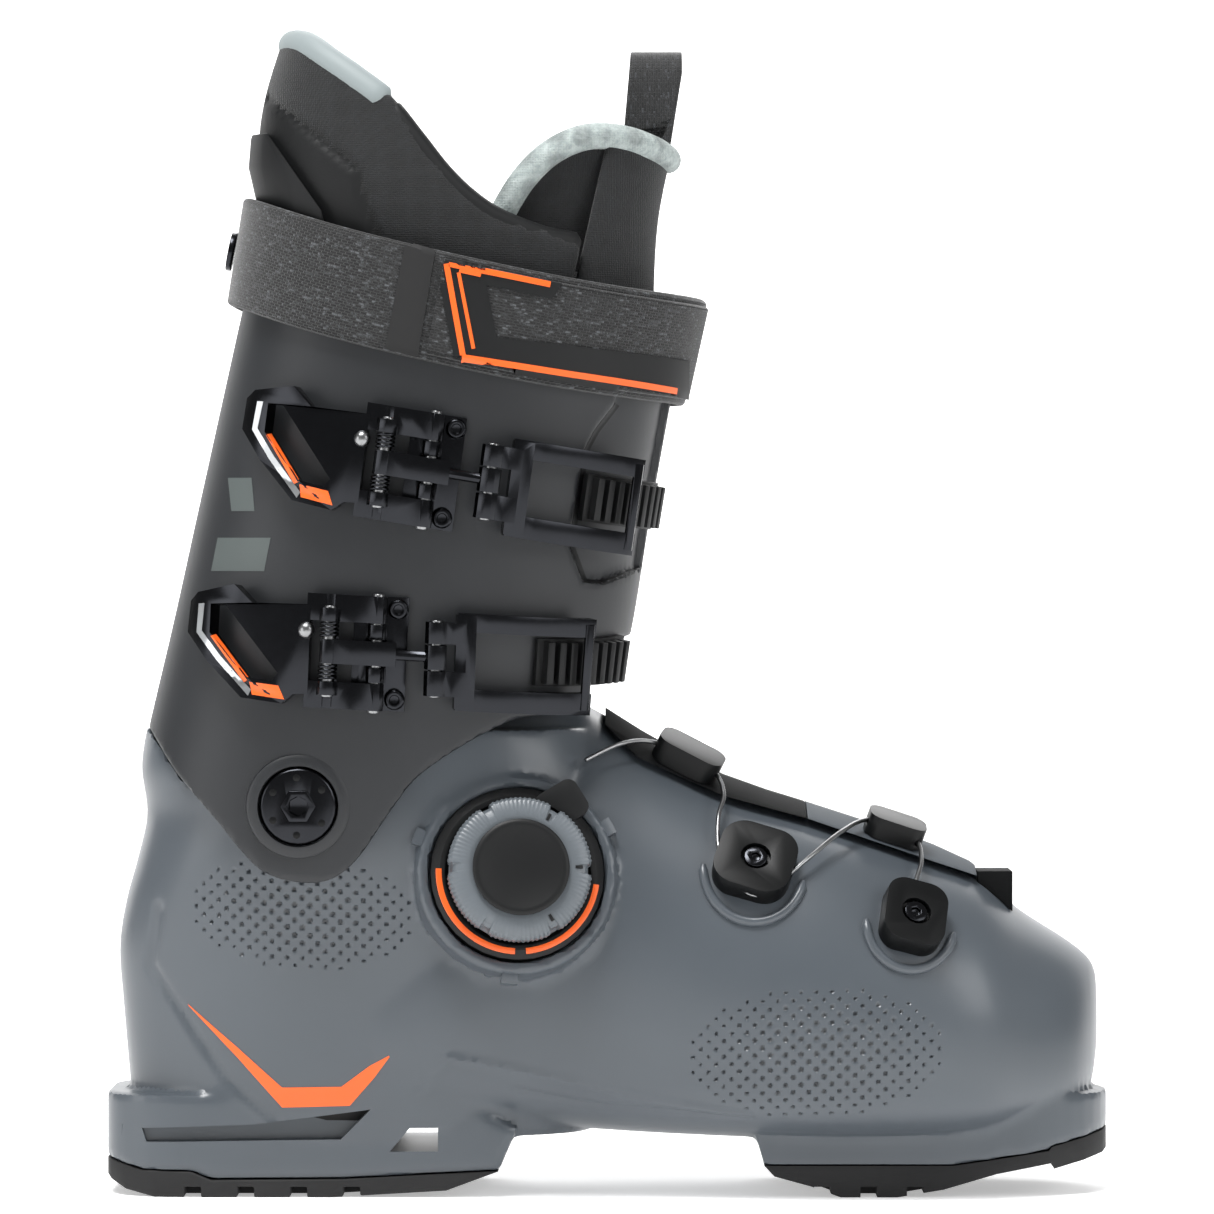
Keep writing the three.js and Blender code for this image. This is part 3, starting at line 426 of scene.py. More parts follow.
def aboveEdge(name, drop):
    outline = [(x, z - drop) for x, z in cuffEdge] + [(140, 400), (-220, 400), (-220, 143 - drop)]
    return sidePrism(name, outline, -130, 130)


def frameAt(point, out, forward):
    zAxis = out.normalized()
    xAxis = (forward - zAxis * forward.dot(zAxis)).normalized()
    yAxis = zAxis.cross(xAxis)
    turn = Matrix((xAxis, yAxis, zAxis)).transposed().to_4x4()
    return Matrix.Translation(point) @ turn


dialAxis = Vector(jointAt["dial_turn"]["axis"]).normalized()
dialFrame = frameAt(Vector(jointAt["dial_turn"]["pos_m"]), dialAxis, toeward)


def lathe(name, profile, matrix, segments=96, radiusAt=lambda radius, height, angle: radius, gap=1e-6):
    verts = []
    for r, h in profile:
        for a in [2 * math.pi * i / segments for i in range(segments)]:
            reach = radiusAt(r, h, a) * unit
            verts.append(matrix @ Vector((reach * math.cos(a), reach * math.sin(a), h * unit)))
    faces = loftFaces(len(profile), segments)
    if profile[0][0] > 0:
        count = len(verts)
        faces += [(count - segments + i, count - segments + (i + 1) % segments, (i + 1) % segments, i)
                  for i in range(segments)]
    piece = meshPiece(name, verts, faces)
    tidyMesh(piece, gap)
    return piece


# ---- camera, floor and light

view = {"distance": 2.1, "frameWidth": 0.372, "middleX": -0.0005, "middleZ": 0.1778}
cameraData = bpy.data.cameras.new("camera")
cameraData.sensor_width = 36
cameraData.lens = 36 * view["distance"] / view["frameWidth"]
cameraData.clip_end = 20
camera = bpy.data.objects.new("camera", cameraData)
camera.location = (view["middleX"], sideShift - view["distance"], view["middleZ"] + 0.02)
target = Vector((view["middleX"], sideShift, view["middleZ"]))
camera.rotation_euler = (target - camera.location).to_track_quat("-Z", "Y").to_euler()
bpy.context.scene.collection.objects.link(camera)
bpy.context.scene.camera = camera

bpy.ops.object.select_all(action="DESELECT")
bpy.ops.mesh.primitive_plane_add(size=9, location=(0, 0, 0))
floor = bpy.context.object
floor.name = "floor"
bpy.ops.mesh.primitive_plane_add(size=9, location=(0, 4.5, 0), rotation=(math.radians(90), 0, 0))
backdrop = bpy.context.object
backdrop.name = "backdrop"
for sheet, strength in ((floor, 0.4), (backdrop, 1.0)):
    paper, paperTree, paperShader = newMaterial(sheet.name + "Paper")
    paperCoords = addNode(paperTree, "ShaderNodeTexCoord").outputs["Object"]
    paperNoise = addNode(paperTree, "ShaderNodeTexNoise", {"Vector": paperCoords, "Scale": 3.0})
    paperTint = colourRamp(paperTree, paperNoise.outputs["Fac"], [(0, grey(0.93)), (1, grey(0.96))])
    paperTree.links.new(paperTint, paperShader.inputs["Base Color"])
    paperShader.inputs["Roughness"].default_value = 0.9
    paperShader.inputs["Emission Color"].default_value = (1, 1, 1, 1)
    paperShader.inputs["Emission Strength"].default_value = strength
    sheet.data.materials.append(paper)

world = bpy.data.worlds.new("studio")
bpy.context.scene.world = world
world.use_nodes = True
world.node_tree.nodes["Background"].inputs[0].default_value = (1, 1, 1, 1)
world.node_tree.nodes["Background"].inputs[1].default_value = 0.24
bpy.context.scene.view_settings.view_transform = "Standard"

lights = [("key", (-0.4, -0.6, 1.9), 0.8, 46), ("fill", (1.4, -1.0, 0.9), 0.9, 10),
          ("rim", (0.2, 1.6, 1.6), 1.4, 22), ("side", (-1.6, -0.9, 0.5), 0.8, 6)]
for name, spot, size, power in lights:
    light = bpy.data.lights.new(name, "AREA")
    light.size = size
    light.energy = power
    lamp = bpy.data.objects.new(name, light)
    lamp.location = spot
    lamp.rotation_euler = (Vector((0, 0, 0.16)) - Vector(spot)).to_track_quat("-Z", "Y").to_euler()
    bpy.context.scene.collection.objects.link(lamp)
print("stage ready")


# ---- lower shell: one smooth moulded skin with its lugs

shellSet = {"wall": 4.5, "voxel": 0.0016, "smoothing": 4, "halfSole": 34.5, "lugTop": 31,
            "dimplePitch": 4.6, "dimpleRadius": 0.95, "dimpleDepth": 0.0006}
heelLugSide = [(-27.5, 20.5), (-30.5, 14), (-33, 8.2), (-80, 5.8), (-120, 5.5), (-126, 8), (-141, 8.4),
               (-160, 13.2), (-160, 31), (-60, 31), (-38, 26)]
toeLugSide = [(44.6, 17.5), (47, 9.8), (104, 9.8), (133, 14), (134, 15.2), (160, 21), (160, 30.7),
              (60, 30.7)]


def bezierPoints(a, b, c, d, steps=10):
    points = []
    for k in range(steps):
        t = k / steps
        points.append(tuple((1 - t) ** 3 * p + 3 * (1 - t) ** 2 * t * q + 3 * (1 - t) * t * t * r
                            + t ** 3 * s for p, q, r, s in zip(a, b, c, d)))
    return points


def lugPlan():
    half, back, front = shellSet["halfSole"], -152.5, 152.5
    near, far = front - half * 1.05, front - half * 0.3
    tail, rear = back + half * 0.8, back + half * 0.2
    return (bezierPoints((near, -half), (far, -half), (front, -half * 0.5), (front, 0))
            + bezierPoints((front, 0), (front, half * 0.5), (far, half), (near, half))
            + bezierPoints((tail, half), (rear, half), (back, half * 0.7), (back, half * 0.4))
            + bezierPoints((back, -half * 0.4), (back, -half * 0.7), (rear, -half), (tail, -half)))


def planPrism(name, outline, zFrom, zTo):
    return loft(name, [[mmPoint(x, y, z) for x, y in outline] for z in (zFrom, zTo)])


def lugBlock(name, side):
    block = sidePrism(name, side, -40, 40)
    combine(block, planPrism("lugPlanTool", lugPlan(), 0, shellSet["lugTop"]), "INTERSECT")
    return block


def ankleRing(row, angle, grow):
    w, middle, depth, half = row
    return legRing((w, middle + 2.5, depth - 2.5, half), angle, grow)


def buildShellSkin():
    skin = loft("lowerShellSkin", ringsOf(heelPoint, heelFine, 0, 120))
    combine(skin, loft("footSkin", ringsOf(footPoint, footFine, 0, 120)), "UNION")
    ankleRows = [(-70, 17, 68.5, 55), *cuffRows]
    inside = copyPiece(skin, "ankleInside")
    combine(inside, loft("ankleCore", ringsOf(ankleRing, smoothRows(ankleRows, 3), -4.8, 96)), "INTERSECT")
    combine(skin, aboveEdge("cuffSpace", 0.8), "DIFFERENCE")
    lip = lathe("dialLip", [(0, -9), (30.6, -9), (30.2, 2.2), (29.2, 3.3), (26.6, 3.3), (26.4, -2), (0, -2)],
                dialFrame, 72)
    joined = joinPieces([skin, inside, lip, lugBlock("heelLug", heelLugSide), lugBlock("toeLug", toeLugSide)])
    remesh(joined, shellSet["voxel"], 0.6, shellSet["smoothing"])
    return joined


def nearLine(x, z, line):
    best = 1e9
    for (x0, z0), (x1, z1) in zip(line, line[1:]):
        dx, dz = x1 - x0, z1 - z0
        t = min(max(((x - x0) * dx + (z - z0) * dz) / (dx * dx + dz * dz), 0), 1)
        best = min(best, math.hypot(x - x0 - t * dx, z - z0 - t * dz))
    return best


def insideOutline(x, z, outline):
    inside = False
    for (x0, z0), (x1, z1) in zip(outline, outline[1:] + outline[:1]):
        if (z0 > z) != (z1 > z) and x < (x1 - x0) * (z - z0) / (z1 - z0) + x0:
            inside = not inside
    return inside


def smoothStep(low, high, value):
    t = min(max((value - low) / (high - low), 0), 1)
    return t * t * (3 - 2 * t)


# middle x, middle z, half length, half height, slant
dimpleFields = [(-92, 86.5, 34, 17.5, -0.05), (62, 45, 38, 20.5, 0.04)]
# lines in side view: points, half width of the ramp, height
raisedLines = [([(-136.2, 87), (-138.7, 69.6), (-115.1, 36), (-101, 24)], 2.6, -0.0011),
               ([(-56.9, 31), (-47.7, 42.6), (-22.5, 38), (10, 31), (42, 25.4)], 2.2, 0.0008),
               ([(-28, 33), (-6.9, 28.5), (20, 26.5), (42.1, 25.1)], 1.6, -0.0007)]


def dimpleAt(x, z):
    pitch = shellSet["dimplePitch"]
    for middleX, middleZ, halfX, halfZ, slant in dimpleFields:
        dx, dz = x - middleX, z - middleZ - slant * (x - middleX)
        if abs(dx) > halfX + 3 or abs(dz) > halfZ + 3:
            continue
        rowIndex = round(dz / (pitch * 0.5))
        offset = pitch * 0.5 if rowIndex % 2 else 0
        columnIndex = round((dx - offset) / pitch)
        spotX, spotZ = columnIndex * pitch + offset, rowIndex * pitch * 0.5
        reach = max(abs(spotX) / halfX, 0) ** 2 + (abs(spotZ) / halfZ) ** 2
        if reach > 1:
            continue
        radius = shellSet["dimpleRadius"] * (1 - 0.55 * reach)
        away = math.hypot(dx - spotX, dz - spotZ)
        return 1 - smoothStep(radius * 0.55, radius * 1.1, away)
    return 0


def shapeShellSide(piece):
    work = bmesh.new()
    work.from_mesh(piece.data)
    for middleX, middleZ, halfX, halfZ, slant in dimpleFields:
        low = mmPoint(middleX - halfX - 1, 0, middleZ - halfZ - 2)
        high = mmPoint(middleX + halfX + 1, 0, middleZ + halfZ + 2)
        edges = {edge for face in work.faces if face.normal.y < -0.3
                 and low.x < face.calc_center_median().x < high.x
                 and low.z < face.calc_center_median().z < high.z for edge in face.edges}
        bmesh.ops.subdivide_edges(work, edges=list(edges), cuts=2, use_grid_fill=True)
    shade = work.verts.layers.float.new("shade")
    work.normal_update()
    moves = []
    for vert in work.verts:
        x, z = vert.co.x / unit / stretchX, vert.co.z / unit
        if vert.normal.y > -0.25:
            continue
        push = 0
        for line, width, height in raisedLines:
            away = nearLine(x, z, line)
            if away < width * 2:
                push += height * (1 - smoothStep(0, width, away))
        depth = dimpleAt(x, z)
        # painted shade: the dimple depth is also stored as "shade", which darkens the shell's colour inside each
        # dimple
        vert[shade] = depth
        moves.append((vert, vert.normal * (push - depth * shellSet["dimpleDepth"])))
    for vert, move in moves:
        vert.co += move
    work.to_mesh(piece.data)
    work.free()


def buildLowerShell():
    piece = buildShellSkin()
    print("shell skin", len(piece.data.polygons))
    shapeShellSide(piece)
    slot = [(-141, 20.8), (-139.6, 16.6), (-80.8, 17.5), (-71.8, 26.7), (-107.4, 22)]
    combine(piece, sidePrism("slotOuter", slot, -50, -29.5), "DIFFERENCE")
    combine(piece, sidePrism("slotInner", slot, 29.5, 50), "DIFFERENCE")
    combine(piece, sidePrism("slotSmall", [(-152, 21.5), (-147, 21.5), (-147.5, 17), (-152, 17)], -50, -27),
            "DIFFERENCE")
    combine(piece, sidePrism("lugWindow", [(-66, 13.8), (-51.5, 13.8), (-51.5, 21), (-60, 21)], -50, 50),
            "DIFFERENCE")
    inner = loft("heelInside", ringsOf(heelPoint, heelFine[12:-1], -shellSet["wall"], 72))
    footRowsIn = [row for row in footFine if row[0] < 144]
    combine(inner, loft("footInside", ringsOf(footPoint, footRowsIn, -shellSet["wall"], 72)), "UNION")
    combine(piece, inner, "DIFFERENCE")
    combine(piece, lathe("dialSocket", [(0, -1.6), (26.3, -1.6), (26.3, 20), (0, 20)], dialFrame, 96),
            "DIFFERENCE")
    shadeSmooth(piece, 30)
    piece.name = "lower_shell_fine"
    return place(piece, "shell", shellPlastic, ["lower_shell"])


lowerShell = buildLowerShell()
print("lower shell", len(lowerShell.data.polygons))


def treeOf(piece):
    bpy.context.view_layer.update()
    return BVHTree.FromObject(piece, bpy.context.evaluated_depsgraph_get())


def touch(tree, x, z):
    hit = tree.ray_cast(Vector((x * unit * stretchX, -0.3, z * unit)), Vector((0, 1, 0)))
    return (hit[0], hit[1]) if hit[0] else (None, None)


def ribbon(name, strips, tree, lift, body, material, rows=4, step=1.0, depth=0.5):
    verts, faces = [], []
    for rail0, rail1 in strips:
        grid = []
        for (a0, a1), (b0, b1) in zip(zip(rail0, rail0[1:]), zip(rail1, rail1[1:])):
            count = max(int(math.dist(a0, a1) / step), int(math.dist(b0, b1) / step), 1)
            for k in range(count + (a1 == rail0[-1])):
                t = k / count
                p = [a0[i] + (a1[i] - a0[i]) * t for i in range(2)]
                q = [b0[i] + (b1[i] - b0[i]) * t for i in range(2)]
                grid.append([(p[0] + (q[0] - p[0]) * j / rows, p[1] + (q[1] - p[1]) * j / rows)
                             for j in range(rows + 1)])
        base = len(verts)
        wide = rows + 1
        spots = [touch(tree, x, z) for line in grid for x, z in line]
        known = [s for s in spots if s[0]]
        if not known:
            continue
        spots = [s if s[0] else known[-1] for s in spots]
        verts += [p + n * lift * unit for p, n in spots] + [p - n * depth * unit for p, n in spots]
        under = len(spots)
        for r in range(len(grid) - 1):
            for j in range(rows):
                a, b = base + r * wide + j, base + r * wide + j + 1
                faces.append((a, b, b + wide, a + wide))
                faces.append((a + under, a + wide + under, b + wide + under, b + under))
        rim = ([base + j for j in range(wide)] + [base + r * wide + rows for r in range(1, len(grid))]
               + [base + (len(grid) - 1) * wide + j for j in reversed(range(rows))]
               + [base + r * wide for r in reversed(range(1, len(grid) - 1))])
        faces += [(rim[i], rim[i] + under, rim[(i + 1) % len(rim)] + under, rim[(i + 1) % len(rim)])
                  for i in range(len(rim))]
    piece = meshPiece(name, verts, faces)
    tidyMesh(piece, 1e-7)
    shadeSmooth(piece, 40)
    return place(piece, body, material)


shellTree = treeOf(lowerShell)
chevron = [([(-127, 58.2), (-112, 45.5), (-98.4, 33.4), (-80.5, 33.7), (-72, 40), (-66.1, 43.2)],
            [(-126.6, 57.6), (-112, 42.5), (-98.4, 27.3), (-78, 27.9), (-70.5, 36.5), (-65.9, 42.8)])]
ribbon("heel_chevron", chevron, shellTree, 0.18, "shell", orangePaint)


def softTube(name, points, radius, around=14):
    centre = [Vector(p) for p in points]
    verts = []
    side = Vector((0, 1, 0))
    for i, point in enumerate(centre):
        ahead = (centre[min(i + 1, len(centre) - 1)] - centre[max(i - 1, 0)]).normalized()
        side = (side - ahead * side.dot(ahead)).normalized()
        other = ahead.cross(side)
        size = radius * unit * (1 if 0 < i < len(centre) - 1 else 0.5)
        verts += [point + (side * math.cos(a) + other * math.sin(a)) * size
                  for a in [2 * math.pi * k / around for k in range(around)]]
    piece = ringTube(name, verts, around)
    shadeSmooth(piece, 60)
    return piece


# raised lips of the shell round the lower half of each screwed guide
for name, middleX, middleZ, reach in (("side", 43.7, 100.2, 16.2), ("front", 90.6, 84.0, 14.2)):
    lip = []
    for k in range(25):
        angle = math.radians(178 + 166 * k / 24)
        spot, normal = touch(shellTree, middleX + reach * math.cos(angle) * 0.95,
                             middleZ + reach * math.sin(angle))
        lip.append(spot + normal * 0.0003)
    place(softTube(f"{name}_guide_lip", lip, 1.5), "shell", lugPlastic)


def stud(name, matrix, profile, body, material, segments=40, width=0.0002):
    piece = lathe(name, profile, matrix, segments)
    if width:
        bevelEdges(piece, width, 2, 40)
    shadeSmooth(piece, 35)
    return place(piece, body, material)


def frameOn(tree, x, z):
    point, normal = touch(tree, x, z)
    return frameAt(point, normal, toeward)


# ---- hardware carried over from the frame with rounded edges

for nodeName in ("heel_sole", "toe_sole"):
    refine(nodeName, soleRubber, 0.0006)
for nodeName in ("heel_screw_outer", "heel_screw_inner", "toe_screw_outer", "toe_screw_inner"):
    refine(nodeName, brightSteel, 0.0002)
for nodeName in ("side_guide_screw", "lace_anchor_screw"):
    refine(nodeName, blackAlloy, 0.0003)
for nodeName in ("top_guide_rear", "top_guide_front", "side_guide", "lace_anchor"):
    refine(nodeName, glossBlack, 0.0011, 3, 40)
for nodeName in ("toe_seal", "instep_insert"):
    refine(nodeName, softInsert, 0.0004)
for nodeName in ("boot_board", "spoiler", "upper_rack", "lower_rack"):
    refine(nodeName, blackPlastic, 0.0004)
refine("instep_flap", flapPlastic, 0.0006)
for nodeName in ("cant_disc", "inner_pivot", "strap_rivet"):
    refine(nodeName, blackAlloy, 0.0003)
for name in ("upper", "lower"):
    for kind in ("lever", "link", "catch", "bracket"):
        refine(f"{name}_{kind}", blackAlloy, 0.0005, 2, 30)
    for kind in ("hinge_pin", "link_pin", "catch_pin"):
        refine(f"{name}_{kind}", brightSteel, 0.0003)
print("hardware ready")

# ---- cuff: a thick plastic shell with a stepped overlap down its outer side

cuffSet = {"wall": 4.0, "voxel": 0.0014, "smoothing": 3, "step": 2.4}
overlapEdge = [(4, 252), (1.7, 239.1), (-4.5, 231), (-7.5, 225.3), (-12.1, 197.1), (-8.1, 186.0),
               (-2.6, 185.4), (10.6, 190.3), (14, 186), (12, 176)]


def buildCuff():
    outer = loft("cuffOuter", ringsOf(legRing, cuffFine, 0, 144))
    lowered = loft("cuffUnder", ringsOf(legRing, cuffFine, -cuffSet["step"], 144))
    tool = sidePrism("overlapTool", overlapEdge + [(90, 176), (90, 252)], -100, -6)
    combine(outer, tool, "DIFFERENCE")
    combine(outer, lowered, "UNION")
    combine(outer, loft("cuffInner", ringsOf(legRing, longerRows(cuffFine), -cuffSet["wall"], 144)),
            "DIFFERENCE")
    combine(outer, aboveEdge("cuffTrim", 0), "INTERSECT")
    remesh(outer, cuffSet["voxel"], 0.5, cuffSet["smoothing"])
    spot = Vector(jointAt["cant_turn"]["pos_m"])
    for side in (-1, 1):
        hub = frameAt(Vector((spot.x, sideShift + side * 0.05, spot.z)), Vector((0, side, 0)), toeward)
        hole = lathe("pivotHole", [(0, -20), (12, -20), (12, 20), (0, 20)], hub, 72)
        combine(outer, hole, "DIFFERENCE")
    shadeSmooth(outer, 32)
    outer.name = "cuff_fine"
    return place(outer, "cuff", cuffPlastic, ["cuff"])


cuff = buildCuff()
cuffTree = treeOf(cuff)
print("cuff", len(cuff.data.polygons))

# the pivot's raised boss and its tick marks
pivot = Vector(jointAt["cant_turn"]["pos_m"])
pivotX, pivotZ = pivot.x / unit / stretchX, pivot.z / unit
bossY = touch(cuffTree, pivotX, pivotZ + 14.2)[0].y
bossFrame = frameAt(Vector((pivot.x, bossY, pivot.z)), Vector((0, -1, 0)), toeward)
stud("pivot_boss", bossFrame, [(12.2, -2.5), (15.9, -2.5), (15.4, 0.5), (14.4, 1.1), (12.2, 1.1)], "cuff",
     cuffPlastic, 96, 0)
discTop = touch(treeOf(bpy.data.objects["cant_disc_fine"]), pivotX + 6, pivotZ)[0].y
discFrame = frameAt(Vector((pivot.x, discTop, pivot.z)), Vector((0, -1, 0)), toeward)
for k in range(6):
    angle = math.radians(35 + 58 * k)
    spot = discFrame @ Matrix.Translation((8.6 * unit * math.cos(angle), 8.6 * unit * math.sin(angle), 0))
    stud(f"pivot_eye_{k}", spot, [(0, -0.3), (1.1, -0.3), (1.1, 0.1), (0.6, 0.25), (0, 0.25)], "cant_disc",
         glossBlack, 16, 0)
stud("pivot_socket", discFrame, [(3.4, -0.2), (5.6, -0.2), (5.2, 0.5), (3.4, 0.5)], "cant_disc",
     blackAlloy, 6, 0.0001)

# a plain two-tone block graphic on the cuff's outer side
graphic = [([(-114.5, 217), (-107, 217)], [(-113.2, 207), (-106, 207)]),
           ([(-117.5, 199), (-101, 199)], [(-119.5, 189), (-103, 189)])]
ribbon("cuff_graphic", graphic, cuffTree, 0.12, "cuff", greyPrint)


def stripe(points, wide):
    left, right = [], []
    for i, (x, z) in enumerate(points):
        x0, z0 = points[max(i - 1, 0)]
        x1, z1 = points[min(i + 1, len(points) - 1)]
        size = math.hypot(x1 - x0, z1 - z0)
        left.append((x - (z1 - z0) / size * wide / 2, z + (x1 - x0) / size * wide / 2))
        right.append((x + (z1 - z0) / size * wide / 2, z - (x1 - x0) / size * wide / 2))
    return left, right


# painted shadow: a thin black strip along the outer flap's edge, where the flap casts its shadow
shadowLinePath = [(x + 0.9, z) for x, z in overlapEdge[1:8]]
ribbon("cuff_painted_shadow_line", [stripe(shadowLinePath, 1.5)], cuffTree, 0.1, "cuff", blackPlastic, 3)
print("cuff details ready")


# ---- power strap: woven band, loop band and a moulded end

def wovenMaterial(name, base, fleck, across, along):
    material, tree, shader = newMaterial(name)
    uv = addNode(tree, "ShaderNodeUVMap", uv_map="weave").outputs[0]
    grid = addNode(tree, "ShaderNodeMapping", {"Vector": uv, "Scale": (along, across, 1.0)})
    warp = addNode(tree, "ShaderNodeTexBrick", {"Vector": grid.outputs[0], "Color1": (0, 0, 0, 1),
                                                "Color2": (1, 1, 1, 1), "Mortar": (0.5, 0.5, 0.5, 1),
                                                "Scale": 1.0, "Mortar Size": 0.09, "Mortar Smooth": 0.6,
                                                "Brick Width": 1.0, "Row Height": 0.5})
    noise = addNode(tree, "ShaderNodeTexNoise", {"Vector": grid.outputs[0], "Scale": 1.3, "Detail": 3.0})
    flecks = colourRamp(tree, warp.outputs["Color"], [(0.5, grey(0)), (0.85, grey(1))])
    some = colourRamp(tree, noise.outputs["Fac"], [(0.46, grey(0)), (0.62, grey(1))])
    both = addNode(tree, "ShaderNodeMath", {0: flecks, 1: some}, operation="MULTIPLY")
    tint = addNode(tree, "ShaderNodeMixRGB", {"Fac": both.outputs[0], "Color1": (*base, 1),
                                              "Color2": (*fleck, 1)})
    tree.links.new(tint.outputs[0], shader.inputs["Base Color"])
    height = addNode(tree, "ShaderNodeMath", {0: warp.outputs["Fac"], 1: -1.0}, operation="MULTIPLY")
    bump = addNode(tree, "ShaderNodeBump", {"Strength": 0.8, "Distance": 0.0006, "Height": height.outputs[0]})
    tree.links.new(bump.outputs[0], shader.inputs["Normal"])
    rough = colourRamp(tree, noise.outputs["Fac"], [(0.3, grey(0.7)), (0.7, grey(0.92))])
    tree.links.new(rough, shader.inputs["Roughness"])
    shader.inputs["Sheen Weight"].default_value = 0.25
    return material


strapWeave = wovenMaterial("strapWeave", linear("#0b0c0d"), linear("#56595c"), 620, 520)
plainWeave = wovenMaterial("plainWeave", linear("#0a0a0b"), linear("#212224"), 900, 700)
knitWeave = wovenMaterial("knitWeave", linear("#121314"), linear("#3f4145"), 700, 520)
strapSet = {"low": 142.5, "high": 175.5, "thick": 2.4, "dip": 4.5}
strapRows = [(142.5, 15.5, 71.5, 60.4), (175.5, 14.5, 72.5, 60.4)]


def weavePiece(name, verts, faces, spots):
    piece = meshPiece(name, verts, faces)
    layer = piece.data.uv_layers.new(name="weave")
    for corner in piece.data.loops:
        layer.data[corner.index].uv = spots[corner.vertex_index]
    work = bmesh.new()
    work.from_mesh(piece.data)
    bmesh.ops.recalc_face_normals(work, faces=work.faces)
    work.to_mesh(piece.data)
    work.free()
    return piece


def bandPiece(name, rowTable, low, high, thick, angles, closed, rise=0.0, rowsUp=10, wave=0.0):
    section = [(0.0, 0.35), (0.012, 0.8), (0.035, 1.0)] + [(k / rowsUp, 1.0) for k in range(1, rowsUp)]
    section += [(0.965, 1.0), (0.988, 0.8), (1.0, 0.35), (1.0, 0.0), (0.5, 0.0), (0.0, 0.0)]
    verts, faces, spots = [], [], []
    length = 0.0
    previous = None
    for i, angle in enumerate(angles):
        row = rowAt(rowTable, (low + high) / 2)
        here = legRing(row, angle, 0)
        length += (here - previous).length if previous else 0
        previous = here
        for t, out in section:
            w = low + (high - low) * t
            swell = wave * math.sin(i * 0.9 + t * 5)
            grown = rise + (out - 1) * thick + (swell if out == 1 else 0)
            lowered = w - strapSet["dip"] * math.sin(angle) ** 2
            verts.append(legRing((lowered, *rowAt(rowTable, w)[1:]), angle, grown))
            spots.append((length, w * unit))
    count, turns = len(section), len(angles)
    for i in range(turns if closed else turns - 1):
        for j in range(count):
            a, b = i * count + j, i * count + (j + 1) % count
            c, d = (i + 1) % turns * count + (j + 1) % count, (i + 1) % turns * count + j
            faces.append((a, d, c, b))
    if not closed:
        faces += [tuple(range(count)), tuple(reversed(range((turns - 1) * count, turns * count)))]
    piece = weavePiece(name, verts, faces, spots)
    shadeSmooth(piece, 50)
    return piece


def turnFor(x, side=-1):
    best = min(range(2000), key=lambda i: abs(legRing(strapRows[0], i * math.pi / 2000 * side, 0).x
                                              - x * unit * stretchX))
    return best * math.pi / 2000 * side


fullTurn = [2 * math.pi * i / 360 for i in range(360)]
strap = bandPiece("power_strap_fine", strapRows, strapSet["low"], strapSet["high"], strapSet["thick"],
                  fullTurn, True, 0, 12)
place(strap, "cuff", strapWeave, ["power_strap"])

endLow, endHigh = strapSet["low"] + 2, strapSet["high"] - 2
endStart, endStop = turnFor(-53.5), math.radians(-11)
endSteps = 150
endTurns = [endStart + (endStop - endStart) * i / endSteps for i in range(endSteps + 1)]
endBack = bandPiece("strap_end_fine", strapRows, endLow, endHigh, 1.6, endTurns, False, 1.9 + 0.05, 40)
place(endBack, "strap_end", strapWeave, ["strap_end"])

# the moulded frame on the strap's end, with its inset window and stripes
strapEndTree = treeOf(endBack)
frameBands = [([(-51.6, 281.6), (-45.6, 250.6)], [(-37, 277.6), (-32.5, 254.4)]),
              ([(-45.0, 250.9), (24, 239.6)], [(-40, 259.3), (24, 252.4)]),
              ([(-50, 282.6), (-13, 276)], [(-48, 276.5), (-17, 270)])]
ribbon("strap_end_frame", frameBands, strapEndTree, 0.55, "strap_end", blackPlastic, 8)
ribbon("strap_end_stripes", [stripe([(-47.5, 280.2), (-17.5, 274.2)], 1.4),
                             stripe([(-48.2, 280.4), (-43.2, 252.4)], 1.7),
                             stripe([(-44.6, 277.8), (-40.2, 255.2)], 1.1),
                             stripe([(-43.6, 252.6), (-12, 247.8), (20.0, 243.4)], 1.9),
                             stripe([(-44.4, 278.4), (-38.0, 277.0)], 1.1)],
       strapEndTree, 0.85, "strap_end", orangePaint, 3)
ribbon("strap_loop_band", [([(-60.5, 287), (-66.5, 255.4)], [(-51.6, 284.4), (-56.8, 252.8)])],
       treeOf(strap), 0.35, "cuff", plainWeave, 8)
print("strap ready")


# ---- lace: one tube with a twisted, ridged surface laid along its guides

laceRoute = [(-7, 132, 5.5), (3, 121, 6), (12, 112, 6.5), (23, 106, 6.5), (32, 109, 6.5), (34.8, 117, 5),
             (33, 128, 4.2), (33.2, 139, 3.4), (37, 146, 3), (44, 148.5, 3), (50, 144, 3.2), (60, 133, 4.4),
             (70, 119, 5.6), (78, 108, 6.5), (87, 105, 6.5), (93.5, 110, 6), (94.5, 119, 4.6), (93, 127, 3.6),
             (91.6, 133, 3.2)]


def buildLace():
    knots = [tuple(footPoint(rowAt(footFine, x), math.radians(degrees), grow))
             for x, degrees, grow in laceRoute]
    centre = [Vector(p) for p in smoothRows(knots, 26)]
    verts = []
    around, walked = 18, 0.0
    side = Vector((0, 1, 0))
    for i, point in enumerate(centre):
        ahead = (centre[min(i + 1, len(centre) - 1)] - centre[max(i - 1, 0)]).normalized()
        side = (side - ahead * side.dot(ahead)).normalized()
        other = ahead.cross(side)
        walked += (point - centre[max(i - 1, 0)]).length
        for k in range(around):
            angle = 2 * math.pi * k / around
            radius = 0.00058 + 0.00013 * abs(math.cos(3 * (angle - walked * 900)))
            verts.append(point + (side * math.cos(angle) + other * math.sin(angle)) * radius)
    piece = ringTube("steel_lace_fine", verts, around)
    shadeSmooth(piece, 60)
    return place(piece, "shell", brightSteel, ["steel_lace"])


buildLace()


# ---- lace dial: ribbed grip ring, plain cap and the base's coloured ring

dialSet = {"grips": 6, "gapHalf": 5.0, "ribs": 96, "ribDepth": 0.35}


